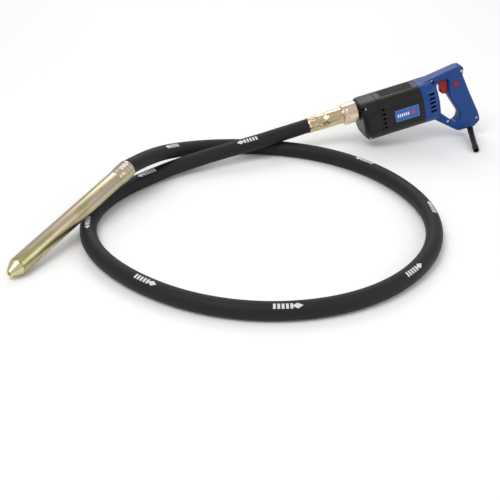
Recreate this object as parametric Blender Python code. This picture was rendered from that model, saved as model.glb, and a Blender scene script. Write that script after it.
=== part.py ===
"""A hand-held electric concrete vibrator: a geared motor with a D-handle, a rubber hose and a steel poker head.

Metres, +Z up. +X runs in plan along the motor, from its coupling to its handle. The origin is on the floor, under
the middle of the rigid pieces. The power unit, and the poker, are each modelled along their own X axis and set in
place by an empty. Left and right are those of a person who holds the handle.
"""

import math

import bmesh
import bpy
from mathutils import Matrix, Vector

# ---------------------------------------------------------------- driving dimensions

GAP = 0.0003  # between pieces that touch
RUNNING_GAP = 0.0004  # round a turning or sliding piece

# where the two rigid groups stand
MOTOR_AT = Vector((0.2325, 0.1961, 0.0560))  # the middle of the front cap's face
MOTOR_TILT = math.radians(13.3)
POKER_MOUTH_AT = Vector((-0.28036, 0.01638, 0.07030))  # the middle of the tail's rear end
POKER_TURN = math.radians(48.5)
NOSE_HEIGHT = 0.0136  # the middle of the nose's flat, over the floor

# motor housings
BODY_WIDTH = 0.086
BODY_HEIGHT = 0.088
BODY_CORNER = 0.030
BODY_WALL = 0.0032
CAP_LENGTH = 0.038
CAP_CHAMFER = 0.011
CASING_LENGTH = 0.095
CORNER_STEPS = 5
VENTS = 5
VENT_TOP = 0.0240
VENT_PITCH = 0.0100
LABEL_BACK = 0.0300  # from the casing's front end
LABEL_LENGTH = 0.0530
LABEL_LOW = -0.0118
LABEL_HIGH = 0.0138
LABEL_DEPTH = 0.0010

# D-handle
HANDLE_THICKNESS = 0.031
HANDLE_ROUNDING = 0.005
HANDLE_WALL = 0.003
TAIL_LENGTH = 0.050  # from the casing to where the barrel has thinned to the handle
SHELL_VENT_TOP = 0.0247
SHELL_VENT_PITCH = 0.0095
SHELL_VENT_HEIGHT = 0.0049
# the barrel's end: share of TAIL_LENGTH, how far each side draws in, how far top and bottom swell
BARREL_STATIONS = [
    (0.0, 0.0, 0.0),
    (0.25, 0.0, 0.0004),
    (0.50, 0.0025, 0.0008),
    (0.70, 0.0100, 0.0015),
    (0.85, 0.0210, 0.0020),
    (1.0, 0.0310, 0.0025),
]

# gears
SPINDLE_OFFSET = 0.0225
PINION_TEETH = 12
GEAR_TEETH = 36
GEAR_WIDTH = 0.010
PRESSURE_ANGLE = math.radians(20)
BACKLASH = 0.0003

# armature
SHAFT_RADIUS = 0.005
JOURNAL_RADIUS = 0.004
TIP_RADIUS = 0.003
CORE_RADIUS = 0.0225
CORE_LENGTH = 0.044
AIR_GAP = 0.001
ARMATURE_SLOTS = 12
COIL_OUTER = 0.0330
COIL_SPAN = math.radians(50)  # each side of its middle
COMMUTATOR_RADIUS = 0.014
COMMUTATOR_LENGTH = 0.017
FAN_RADIUS = 0.033
FAN_BLADES = 9

# bearings: outer radius and width
ARMATURE_BEARING = (0.011, 0.007)
SMALL_BEARING = (0.0095, 0.006)
SPINDLE_BEARING = (0.016, 0.009)
POKER_BEARING_WIDTH = 0.011

# spindle and coupling
SPINDLE_RADIUS = 0.0075
DRIVE_SQUARE = 0.0070
NECK_RADIUS = 0.019
NECK_BORE = 0.013
NECK_LENGTH = 0.0247
COLLAR_RADIUS = 0.0225
COLLAR_LENGTH = 0.0317
COLLAR_NOTCHES = 8
FERRULE_RADIUS = 0.017
FERRULE_LENGTH = 0.0860
FERRULE_BORE = 0.010
FLANGE_LENGTH = 0.0057

# hose
HOSE_RADIUS = 0.015
HOSE_INSERT = 0.020  # how far it reaches into the ferrule and into the poker's tail
HOSE_LEAD = 0.005  # straight, outside each socket
HOSE_POINT_SPACING = 0.045

# poker
POKER_LENGTH = 0.340
POKER_RADIUS = 0.016
POKER_WALL = 0.0025
NOSE_LENGTH = 0.0205
NOSE_FLAT_RADIUS = 0.0064
TAIL_PIECE_LENGTH = 0.042
WEIGHT_RADIUS = 0.011
WEIGHT_LENGTH = 0.160
WEIGHT_JOURNAL = 0.006
TAIL_GROOVES = 3

# switch and cable entry
TRIGGER_WIDTH = 0.013
TRIGGER_TOP = 0.0330
TRIGGER_FACE = 0.0510  # from the casing's end
TRIGGER_SLOT = (0.0760, 0.0015)  # its rear end, from the casing's end, and its lower edge
BUTTON_RADIUS = 0.0062
SLEEVE_RADIUS = 0.0068
SLEEVE_BORE = 0.0042
SLEEVE_SOCKET = 0.010

# fasteners
CAP_SCREW_RADIUS = 0.002
CAP_SCREW_HEAD = 0.0038
CAP_SCREW_LENGTH = 0.045
SHELL_SCREW_RADIUS = 0.0018
SHELL_SCREW_HEAD = 0.0034
SHELL_POST_RADIUS = 0.0050
SHELL_SCREW_LENGTH = 0.010  # past the split, in the right shell
SHELL_SCREW_SINK = 0.0035

# the hose's middle line, from inside the ferrule to inside the poker's tail
HOSE_ROUTE = [
    (0.0948, 0.1901, 0.0492),
    (0.0722, 0.1823, 0.0474),
    (0.0460, 0.1728, 0.0458),
    (0.0136, 0.1632, 0.0421),
    (-0.0232, 0.1548, 0.0378),
    (-0.0662, 0.1466, 0.0326),
    (-0.1226, 0.1350, 0.0256),
    (-0.1776, 0.1174, 0.0195),
    (-0.2287, 0.0901, 0.0161),
    (-0.2755, 0.0558, 0.0153),
    (-0.3158, 0.0142, 0.0152),
    (-0.3469, -0.0347, 0.0152),
    (-0.3650, -0.0898, 0.0152),
    (-0.3674, -0.1476, 0.0152),
    (-0.3559, -0.2044, 0.0152),
    (-0.3331, -0.2578, 0.0152),
    (-0.3023, -0.3070, 0.0152),
    (-0.2646, -0.3511, 0.0152),
    (-0.2204, -0.3887, 0.0152),
    (-0.1701, -0.4176, 0.0152),
    (-0.1152, -0.4364, 0.0152),
    (-0.0578, -0.4440, 0.0152),
    (0.0001, -0.4402, 0.0152),
    (0.0559, -0.4246, 0.0152),
    (0.1073, -0.3977, 0.0152),
    (0.1526, -0.3614, 0.0152),
    (0.1905, -0.3175, 0.0152),
    (0.2191, -0.2671, 0.0152),
    (0.2379, -0.2122, 0.0152),
    (0.2460, -0.1547, 0.0152),
    (0.2433, -0.0968, 0.0152),
    (0.2317, -0.0399, 0.0152),
    (0.2116, 0.0145, 0.0152),
    (0.1827, 0.0649, 0.0152),
    (0.1461, 0.1098, 0.0152),
    (0.1019, 0.1474, 0.0152),
    (0.0517, 0.1764, 0.0152),
    (-0.0025, 0.1973, 0.0154),
    (-0.0596, 0.2063, 0.0176),
    (-0.1152, 0.1932, 0.0250),
    (-0.1610, 0.1603, 0.0378),
    (-0.1992, 0.1189, 0.0520),
    (-0.2251, 0.0858, 0.0610),
    (-0.2462, 0.0585, 0.0668),
    (-0.2636, 0.0368, 0.0696),
]

FINISHES = {
    "black_plastic": ((0.018, 0.018, 0.020), 0.45, 0.0),
    "blue_plastic": ((0.012, 0.075, 0.330), 0.38, 0.0),
    "red_plastic": ((0.55, 0.012, 0.015), 0.35, 0.0),
    "label": ((0.020, 0.130, 0.480), 0.30, 0.0),
    "zinc_gold": ((0.72, 0.62, 0.40), 0.30, 1.0),
    "olive_steel": ((0.50, 0.46, 0.30), 0.32, 1.0),
    "rubber": ((0.020, 0.022, 0.024), 0.60, 0.0),
    "steel": ((0.55, 0.55, 0.56), 0.30, 1.0),
    "copper": ((0.70, 0.30, 0.14), 0.35, 1.0),
    "carbon": ((0.05, 0.05, 0.05), 0.55, 0.0),
    "brass": ((0.70, 0.52, 0.22), 0.30, 1.0),
    "lamination": ((0.28, 0.28, 0.29), 0.45, 1.0),
    "seal_rubber": ((0.03, 0.02, 0.02), 0.55, 0.0),
}

# ---------------------------------------------------------------- helpers


def finish_named(name):
    """The material of that name, made the first time it is asked for."""
    found = bpy.data.materials.get(name)
    if found:
        return found
    colour, roughness, metallic = FINISHES[name]
    made = bpy.data.materials.new(name)
    made.use_nodes = True
    shader = made.node_tree.nodes["Principled BSDF"]
    shader.inputs["Base Color"].default_value = (*colour, 1.0)
    shader.inputs["Roughness"].default_value = roughness
    shader.inputs["Metallic"].default_value = metallic
    return made


def placed(shape, name, parent=None, at=(0, 0, 0), finish="steel", smooth=35):
    """Makes an object of a bmesh, with its faces outwards and round stretches shaded smooth."""
    bmesh.ops.recalc_face_normals(shape, faces=shape.faces)
    mesh = bpy.data.meshes.new(name)
    shape.to_mesh(mesh)
    shape.free()
    mesh.shade_smooth()
    mesh.set_sharp_from_angle(angle=math.radians(smooth))
    thing = bpy.data.objects.new(name, mesh)
    mesh.materials.append(finish_named(finish))
    bpy.context.scene.collection.objects.link(thing)
    thing.parent = parent
    thing.location = at
    return thing


def boolean(thing, other, operation):
    """Adds another object to the thing's last Boolean, or to a new one if that did something else."""
    step = thing.modifiers[-1] if thing.modifiers else None
    if step is None or step.operation != operation:
        step = thing.modifiers.new(f"{operation.lower()} {len(thing.modifiers) + 1}", "BOOLEAN")
        step.operation = operation
        step.solver = "EXACT"
        step.operand_type = "COLLECTION"
        step.collection = bpy.data.collections.new(f"{thing.name} {step.name}")
    step.collection.objects.link(other)
    other.hide_render = True
    other.display_type = "WIRE"


def cut(thing, *cutters):
    for cutter in cutters:
        boolean(thing, cutter, "DIFFERENCE")


def join(thing, *others):
    for other in others:
        boolean(thing, other, "UNION")


def turned(profile, sides=32, ring=False):
    """Spins (x, radius) points about X. A ring's profile closes on itself and never meets the axis."""
    shape = bmesh.new()
    points = [shape.verts.new((x, 0, radius)) for x, radius in profile]
    pairs = list(zip(points, points[1:]))
    if ring:
        pairs.append((points[-1], points[0]))
    edges = [shape.edges.new(pair) for pair in pairs]
    bmesh.ops.spin(shape, geom=points + edges, axis=(1, 0, 0), angle=math.tau, steps=sides)
    bmesh.ops.remove_doubles(shape, verts=shape.verts, dist=1e-6)
    return shape


def sleeve(start, end, bore, radius, sides=32):
    """A plain tube along X."""
    return turned([(start, radius), (end, radius), (end, bore), (start, bore)], sides, ring=True)


def rod(start, end, radius, sides=32):
    """A plain solid cylinder along X."""
    return turned([(start, 0), (start, radius), (end, radius), (end, 0)], sides)


def block(low, high):
    """A box between two corners."""
    shape = bmesh.new()
    bmesh.ops.create_cube(shape, size=1)
    low, high = Vector(low), Vector(high)
    bmesh.ops.scale(shape, vec=high - low, verts=shape.verts)
    bmesh.ops.translate(shape, vec=(low + high) / 2, verts=shape.verts)
    return shape


def skin(rings, closed=False):
    """Joins rings of points, all of one count, by quads, and caps both ends unless the last ring meets the first."""
    shape = bmesh.new()
    loops = [[shape.verts.new(point) for point in ring] for ring in rings]
    pairs = list(zip(loops, loops[1:]))
    if closed:
        pairs.append((loops[-1], loops[0]))
    for near, far in pairs:
        for i in range(len(near)):
            k = (i + 1) % len(near)
            shape.faces.new((near[i], near[k], far[k], far[i]))
    if not closed:
        shape.faces.new(loops[0])
        shape.faces.new(loops[-1])
    return shape


def arc(middle, radius, start, end, steps):
    """Points on a circle's arc, both ends included; angles in radians."""
    for i in range(steps + 1):
        angle = start + (end - start) * i / steps
        yield middle[0] + radius * math.cos(angle), middle[1] + radius * math.sin(angle)


def rounded_section(x, half_width, bottom, top, corner):
    """A rounded rectangle across X, as points round it."""
    side = half_width - corner
    points = []
    for y, z, start in (
        (side, top - corner, 0),
        (-side, top - corner, 0.25),
        (-side, bottom + corner, 0.5),
        (side, bottom + corner, 0.75),
    ):
        turn = math.tau * start
        points += arc((y, z), corner, turn, turn + math.tau / 4, CORNER_STEPS)
    return [(x, y, z) for y, z in points]


def body_section(x, inset=0.0):
    """The motor body's own section, moved in by inset all round."""
    return rounded_section(
        x,
        BODY_WIDTH / 2 - inset,
        -BODY_HEIGHT / 2 + inset,
        BODY_HEIGHT / 2 - inset,
        BODY_CORNER - inset,
    )


def filleted(corners, steps=4):
    """Rounds each (x, z, radius) corner of a closed outline with an arc that meets both sides."""
    points = []
    for i, (x, z, radius) in enumerate(corners):
        here = Vector((x, z))
        back = (Vector(corners[i - 1][:2]) - here).normalized()
        ahead = (Vector(corners[(i + 1) % len(corners)][:2]) - here).normalized()
        half = math.acos(max(-1, min(1, back.dot(ahead)))) / 2
        if radius == 0 or abs(half - math.pi / 2) < 1e-3:
            points.append(here)
            continue
        reach = radius / math.tan(half)
        middle = here + (back + ahead).normalized() * radius / math.sin(half)
        first = here + back * reach - middle
        last = here + ahead * reach - middle
        sweep = first.angle_signed(last)
        for k in range(steps + 1):
            turn = -sweep * k / steps
            c, s = math.cos(turn), math.sin(turn)
            points.append(middle + Vector((first.x * c - first.y * s, first.x * s + first.y * c)))
    return points


def moved_in(outline, distance):
    """A closed outline, anticlockwise, with every point moved towards its inside."""
    points = []
    for i, here in enumerate(outline):
        before = (here - outline[i - 1]).normalized()
        after = (outline[(i + 1) % len(outline)] - here).normalized()
        inward = Vector((-before.y - after.y, before.x + after.x)).normalized()
        stretch = max(0.5, inward.dot(Vector((-before.y, before.x))))
        points.append(here + inward * distance / stretch)
    return points


def plate(outline, opening, levels):
    """A plate across Y with an opening. levels are (y, inset): at each one both edges stand that far into the material."""
    shape = bmesh.new()
    walls = []
    for loop, sign in ((outline, 1), (opening, -1)):
        rings = [
            [shape.verts.new((p.x, y, p.y)) for p in moved_in(loop, sign * inset)]
            for y, inset in levels
        ]
        for near, far in zip(rings, rings[1:]):
            for i in range(len(near)):
                k = (i + 1) % len(near)
                shape.faces.new((near[i], near[k], far[k], far[i]))
        walls.append(rings)
    for level in (0, -1):
        edges = []
        for rings in walls:
            ring = rings[level]
            edges += [shape.edges.get((ring[i - 1], ring[i])) for i in range(len(ring))]
        bmesh.ops.triangle_fill(shape, edges=edges, use_beauty=True)
    return shape


def prism(outline, low, high):
    """An outline in X and Z, extruded along Y."""
    return skin([[(p.x, y, p.y) for p in outline] for y in (low, high)])


def across(shape, middle, flip=1):
    """Turns a shape made along X to lie along Y, and moves it to middle."""
    for vert in shape.verts:
        x, y, z = vert.co
        vert.co = (middle[0] + y, middle[1] + flip * x, middle[2] + z)
    return shape


def upright(shape):
    """Turns a shape made along X to stand along Z."""
    for vert in shape.verts:
        x, y, z = vert.co
        vert.co = (-z, y, x)
    return shape


def rolled(shape, share):
    """Turns a shape about X by a share of a full turn."""
    bmesh.ops.rotate(shape, verts=shape.verts, matrix=Matrix.Rotation(math.tau * share, 3, "X"))
    return shape


def smooth_curve(points, spacing):
    """Points about spacing apart on the Catmull-Rom curve from the second point to the last but one."""
    guide = [Vector(point) for point in points]
    fine = []
    for a, b, c, d in zip(guide, guide[1:], guide[2:], guide[3:]):
        for i in range(24):
            t = i / 24
            fine.append(
                0.5 * (2 * b + (c - a) * t + (2 * a - 5 * b + 4 * c - d) * t**2 + (3 * b - a - 3 * c + d) * t**3)
            )
    fine.append(guide[-2])
    lengths = [0.0]
    for a, b in zip(fine, fine[1:]):
        lengths.append(lengths[-1] + (b - a).length)
    count = max(2, round(lengths[-1] / spacing))
    picked, at = [], 0
    for i in range(count + 1):
        wanted = lengths[-1] * i / count
        while at < len(fine) - 2 and lengths[at + 1] < wanted:
            at += 1
        share = (wanted - lengths[at]) / (lengths[at + 1] - lengths[at])
        picked.append(fine[at].lerp(fine[at + 1], share))
    return picked


def tube_along(path, profile, sides=12):
    """Carries (share of the path, radius) points round a path, as a closed ring-shaped skin."""
    rings = []
    for share, radius in profile:
        at = share * (len(path) - 1)
        i = min(int(at), len(path) - 2)
        middle = path[i].lerp(path[i + 1], at - i)
        along = (path[i + 1] - path[i]).normalized()
        side = along.cross(Vector((1, 0, 0))).normalized()
        other = along.cross(side)
        rings.append(
            [
                middle + radius * (math.cos(math.tau * k / sides) * side + math.sin(math.tau * k / sides) * other)
                for k in range(sides)
            ]
        )
    return skin(rings, closed=True)


def spring_points(start, end, radius, turns, per_turn=8):
    """A helix about X from start to end."""
    count = turns * per_turn
    for i in range(count + 1):
        angle = math.tau * i / per_turn
        yield start + (end - start) * i / count, radius * math.cos(angle), radius * math.sin(angle)


def wire(points, radius, name, parent=None, at=(0, 0, 0), finish="steel", resolution=2):
    """A curve through the points with a round section and closed ends."""
    curve = bpy.data.curves.new(name, "CURVE")
    curve.dimensions = "3D"
    curve.bevel_depth = radius
    curve.bevel_resolution = resolution
    curve.use_fill_caps = True
    curve.materials.append(finish_named(finish))
    points = list(points)
    line = curve.splines.new("POLY")
    line.points.add(len(points) - 1)
    for slot, point in zip(line.points, points):
        slot.co = (*point, 1)
    thing = bpy.data.objects.new(name, curve)
    bpy.context.scene.collection.objects.link(thing)
    thing.parent = parent
    thing.location = at
    return thing


def gear_outline(teeth, module, turn):
    """An involute gear's outline with its teeth thinned by the backlash; turn is in tooth pitches."""
    pitch_radius = teeth * module / 2
    base = pitch_radius * math.cos(PRESSURE_ANGLE)
    tip = pitch_radius + 0.8 * module
    root = pitch_radius - 1.15 * module
    involute = math.tan(PRESSURE_ANGLE) - PRESSURE_ANGLE
    half_tooth = math.pi / (2 * teeth) - BACKLASH / (2 * pitch_radius)
    flank = []
    for i in range(3):
        radius = max(base, root) + (tip - max(base, root)) * i / 2
        roll = math.acos(min(1, base / radius))
        flank.append((radius, half_tooth + involute - (math.tan(roll) - roll)))
    if root < base:
        flank.insert(0, (root, flank[0][1]))
    points = []
    for tooth in range(teeth):
        middle = math.tau * (tooth + turn) / teeth
        points += [(r, middle - a) for r, a in flank]
        points += [(r, middle + a) for r, a in reversed(flank)]
    return [(r * math.cos(a), r * math.sin(a)) for r, a in points]


def bearing(name, parent, x, size, bore, at, sides=20):
    """A ball bearing as one ring, with a groove in its front face between the races."""
    radius, width = size
    middle = (radius + bore) / 2
    relief = (radius - bore) * 0.2
    dip = width * 0.08
    profile = [
        (x, radius),
        (x + width, radius),
        (x + width, bore),
        (x, bore),
        (x, middle - relief),
        (x + dip, middle - relief),
        (x + dip, middle + relief),
        (x, middle + relief),
    ]
    return placed(turned(profile, sides, ring=True), name, parent, at, "steel")


def screw(name, parent, head, radius, length, at, lengthwise=True):
    """A pan-head screw along X, its head's underside at x = 0; or along Y with its head to the left."""
    thick = head * 0.7
    profile = [
        (-thick, 0),
        (-thick, head * 0.7),
        (-thick * 0.6, head),
        (0, head),
        (0, radius),
        (length - radius, radius),
        (length, radius * 0.4),
        (length, 0),
    ]
    shape = turned(profile, 16)
    if not lengthwise:
        across(shape, (0, 0, 0))
    return placed(shape, name, parent, at, "steel")


# ---------------------------------------------------------------- the motor's own stations along X

CASING_START = CAP_LENGTH + GAP
CASING_END = CASING_START + CASING_LENGTH
SHELL_START = CASING_END + GAP
TAIL_END = SHELL_START + TAIL_LENGTH
HALF_WIDTH = BODY_WIDTH / 2
HALF_HEIGHT = BODY_HEIGHT / 2
HALF_HANDLE = HANDLE_THICKNESS / 2

FRONT_WALL = 0.004
PLATE_START = CAP_LENGTH - 0.008
PLATE_END = CAP_LENGTH
GEAR_END = PLATE_START - 0.0035
GEAR_START = GEAR_END - GEAR_WIDTH
CORE_START = CASING_START + 0.022
CORE_END = CORE_START + CORE_LENGTH
COMMUTATOR_START = CORE_END + 0.009
COMMUTATOR_END = COMMUTATOR_START + COMMUTATOR_LENGTH
REAR_BEARING_START = COMMUTATOR_END + 0.0055
MODULE = 2 * SPINDLE_OFFSET / (PINION_TEETH + GEAR_TEETH)
FIELD_RADIUS = CORE_RADIUS + AIR_GAP
SPINDLE_AXIS = (0, 0, SPINDLE_OFFSET)
LABEL_START = CASING_START + LABEL_BACK
LABEL_END = LABEL_START + LABEL_LENGTH
FERRULE_MOUTH = -NECK_LENGTH - GAP - FERRULE_LENGTH

# cap screws stand in from the body's corners
SCREW_Y = HALF_WIDTH - 0.0115
SCREW_Z = HALF_HEIGHT - 0.0115
SCREW_SEAT = CAP_CHAMFER
CAP_SCREWS = {
    "upper_left": (-SCREW_Y, SCREW_Z),
    "upper_right": (SCREW_Y, SCREW_Z),
    "lower_left": (-SCREW_Y, -SCREW_Z),
    "lower_right": (SCREW_Y, -SCREW_Z),
}

# the handle, in X and Z from the casing's end: x, z, fillet
HANDLE_OUTLINE = [
    (0.006, -0.0405, 0.008),
    (0.028, -0.0475, 0.020),
    (0.078, -0.0910, 0.012),
    (0.1155, -0.0920, 0.010),
    (0.1310, -0.0810, 0.009),
    (0.1295, -0.0640, 0.030),
    (0.1140, -0.0080, 0.060),
    (0.1035, 0.0350, 0.008),
    (0.1095, 0.0535, 0.008),
    (0.0930, 0.0565, 0.012),
    (0.006, 0.0440, 0.008),
]
HANDLE_OPENING = [
    (0.0375, 0.0345, 0.005),
    (0.0445, -0.0060, 0.060),
    (0.0415, -0.0350, 0.008),
    (0.0730, -0.0710, 0.006),
    (0.0835, -0.0630, 0.005),
    (0.0870, -0.0520, 0.008),
    (0.0670, -0.0040, 0.012),
    (0.0700, 0.0350, 0.003),
]
SHELL_SCREWS = {
    "front": (0.0330, 0.0415),
    "rear": (0.1010, 0.0440),
    "lower": (0.0570, -0.0610),
    "grip": (0.1230, -0.0735),
}
SWITCH_BOX = ((0.0760, -0.0065, -0.0020), (0.0960, 0.0065, 0.0330))
TRIGGER_TRAVEL = 0.005
BUTTON_AT = (0.0860, 0.0205)
SLEEVE_AT = (0.1100, -0.0900)
SLEEVE_REACH = Vector((-0.0300, -0.1000, -0.0121))  # from the handle's foot to the sleeve's free end


def shifted(corners):
    """Handle corners, from the casing's end to the motor's own frame."""
    return [(SHELL_START + x, z, radius) for x, z, radius in corners]


def anticlockwise(outline):
    area = sum(a.x * b.y - b.x * a.y for a, b in zip(outline, outline[1:] + outline[:1]))
    return outline if area > 0 else outline[::-1]


# ---------------------------------------------------------------- power unit, outside


def spare(hollow, unit, start, end, radius):
    """Leaves a post for each cap screw standing in a hollow."""
    for place, (y, z) in CAP_SCREWS.items():
        cut(hollow, placed(rod(start, end, radius, 12), f"{hollow.name}_post_{place}", unit, (0, y, z)))


def front_cap(unit):
    """The gear housing: a chamfered box with the spindle's nose, its bearing seat and the threaded neck."""
    rings = [
        rounded_section(0, HALF_WIDTH - 0.006, -HALF_HEIGHT + CAP_CHAMFER + 0.002, HALF_HEIGHT - 0.0045, 0.024),
        rounded_section(0.0035, HALF_WIDTH - 0.002, -HALF_HEIGHT + CAP_CHAMFER * 0.68, HALF_HEIGHT - 0.001, 0.027),
        body_section(CAP_CHAMFER),
        body_section(CAP_LENGTH),
    ]
    cap = placed(skin(rings), "front_cap", unit, finish="black_plastic")
    hollow = [
        rounded_section(FRONT_WALL + 0.006, 0.034, -0.030, 0.037, 0.020),
        body_section(CAP_CHAMFER + 0.006, BODY_WALL),
        body_section(CAP_LENGTH + 0.001, BODY_WALL),
    ]
    cap_hollow = placed(skin(hollow), "cap_hollow", unit)
    spare(cap_hollow, unit, -0.001, CAP_LENGTH + 0.002, 0.0053)
    cut(cap, cap_hollow)
    seat, width = SPINDLE_BEARING
    boss = placed(rod(0.0025, FRONT_WALL + width, seat + 0.004, 40), "spindle_boss", unit, SPINDLE_AXIS)
    neck = placed(rod(-NECK_LENGTH, 0.0018, NECK_RADIUS, 48), "cap_neck", unit, SPINDLE_AXIS)
    join(cap, boss, neck)
    cut(
        cap,
        placed(rod(-NECK_LENGTH - 0.001, 0.0006, NECK_BORE, 32), "neck_bore", unit, SPINDLE_AXIS),
        placed(rod(-0.001, FRONT_WALL + 0.001, SPINDLE_RADIUS + 0.002, 32), "cap_bore", unit, SPINDLE_AXIS),
        placed(rod(FRONT_WALL, FRONT_WALL + width + 0.001, seat + GAP, 40), "cap_seat", unit, SPINDLE_AXIS),
    )
    for place, (y, z) in CAP_SCREWS.items():
        pocket = rod(-0.001, SCREW_SEAT, CAP_SCREW_HEAD + 0.0009, 16)
        hole = rod(SCREW_SEAT - 0.001, CAP_LENGTH + 0.001, CAP_SCREW_RADIUS + RUNNING_GAP, 12)
        cut(
            cap,
            placed(pocket, f"cap_pocket_{place}", unit, (0, y, z)),
            placed(hole, f"cap_hole_{place}", unit, (0, y, z)),
        )
    return cap


def motor_casing(unit):
    """The black sleeve round the field, with ribs on its back, triangular vents and label recesses."""
    casing = placed(skin([body_section(CASING_START), body_section(CASING_END)]), "motor_casing", unit, finish="black_plastic")
    rib_start, rib_end = CASING_START + 0.012, CASING_END - 0.010
    for i in range(-2, 3):
        y = i * 0.0062
        rib = block((rib_start, y - 0.0011, HALF_HEIGHT - 0.002), (rib_end, y + 0.0011, HALF_HEIGHT + 0.0011))
        join(casing, placed(rib, f"rib_{i + 2}", unit))
    inner = [body_section(CASING_START - 0.001, BODY_WALL), body_section(CASING_END + 0.001, BODY_WALL)]
    casing_hollow = placed(skin(inner), "casing_hollow", unit)
    post_end = CAP_SCREW_LENGTH + SCREW_SEAT + 0.003
    spare(casing_hollow, unit, CASING_START - 0.002, post_end, 0.0053)
    cut(casing, casing_hollow)
    for place, (y, z) in CAP_SCREWS.items():
        hole = rod(CASING_START - 0.001, post_end - 0.002, CAP_SCREW_RADIUS + GAP, 12)
        cut(casing, placed(hole, f"casing_hole_{place}", unit, (0, y, z)))
    for side in (-1, 1):
        recess = block(
            (LABEL_START - GAP, side * (HALF_WIDTH - LABEL_DEPTH), LABEL_LOW - GAP),
            (LABEL_END + GAP, side * (HALF_WIDTH + 0.002), LABEL_HIGH + GAP),
        )
        cut(casing, placed(recess, f"label_recess_{side}", unit))
        for i in range(VENTS):
            z = VENT_TOP - i * VENT_PITCH
            corners = [Vector((0, z + 0.0036)), Vector((0.0080, z - 0.0006)), Vector((0, z - 0.0036))]
            outline = [Vector((CASING_START + 0.0040, 0)) + corner for corner in corners]
            reach = sorted((side * (HALF_WIDTH - 0.016), side * (HALF_WIDTH + 0.001)))
            cut(casing, placed(prism(outline, *reach), f"vent_{side}_{i}", unit))
    return casing


def label_plate(unit, name, side):
    """A thin plate set into the casing's flat side."""
    inner, outer = side * (HALF_WIDTH - LABEL_DEPTH + GAP), side * HALF_WIDTH
    low, high = sorted((inner, outer))
    return placed(block((LABEL_START, low, LABEL_LOW), (LABEL_END, high, LABEL_HIGH)), name, unit, finish="label")


def handle_levels(side, start, thickness, rounding):
    """The heights across a half handle, with how far its edges draw in at each."""
    levels = [(start, 0), (thickness - rounding, 0)]
    for i in range(1, 3):
        turn = math.pi / 2 * i / 2
        levels.append((thickness - rounding * (1 - math.sin(turn)), rounding * (1 - math.cos(turn))))
    return [(side * y, inset) for y, inset in levels]


def half_section(x, half_width, bottom, top, corner, side):
    """One side of a rounded rectangle across X, reaching a little past the split."""
    flat = half_width - corner
    points = [(-0.004, top)]
    points += arc((flat, top - corner), corner, math.pi / 2, 0, CORNER_STEPS)
    points += arc((flat, bottom + corner), corner, 0, -math.pi / 2, CORNER_STEPS)
    points.append((-0.004, bottom))
    return [(x, side * y, z) for y, z in points]


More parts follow.
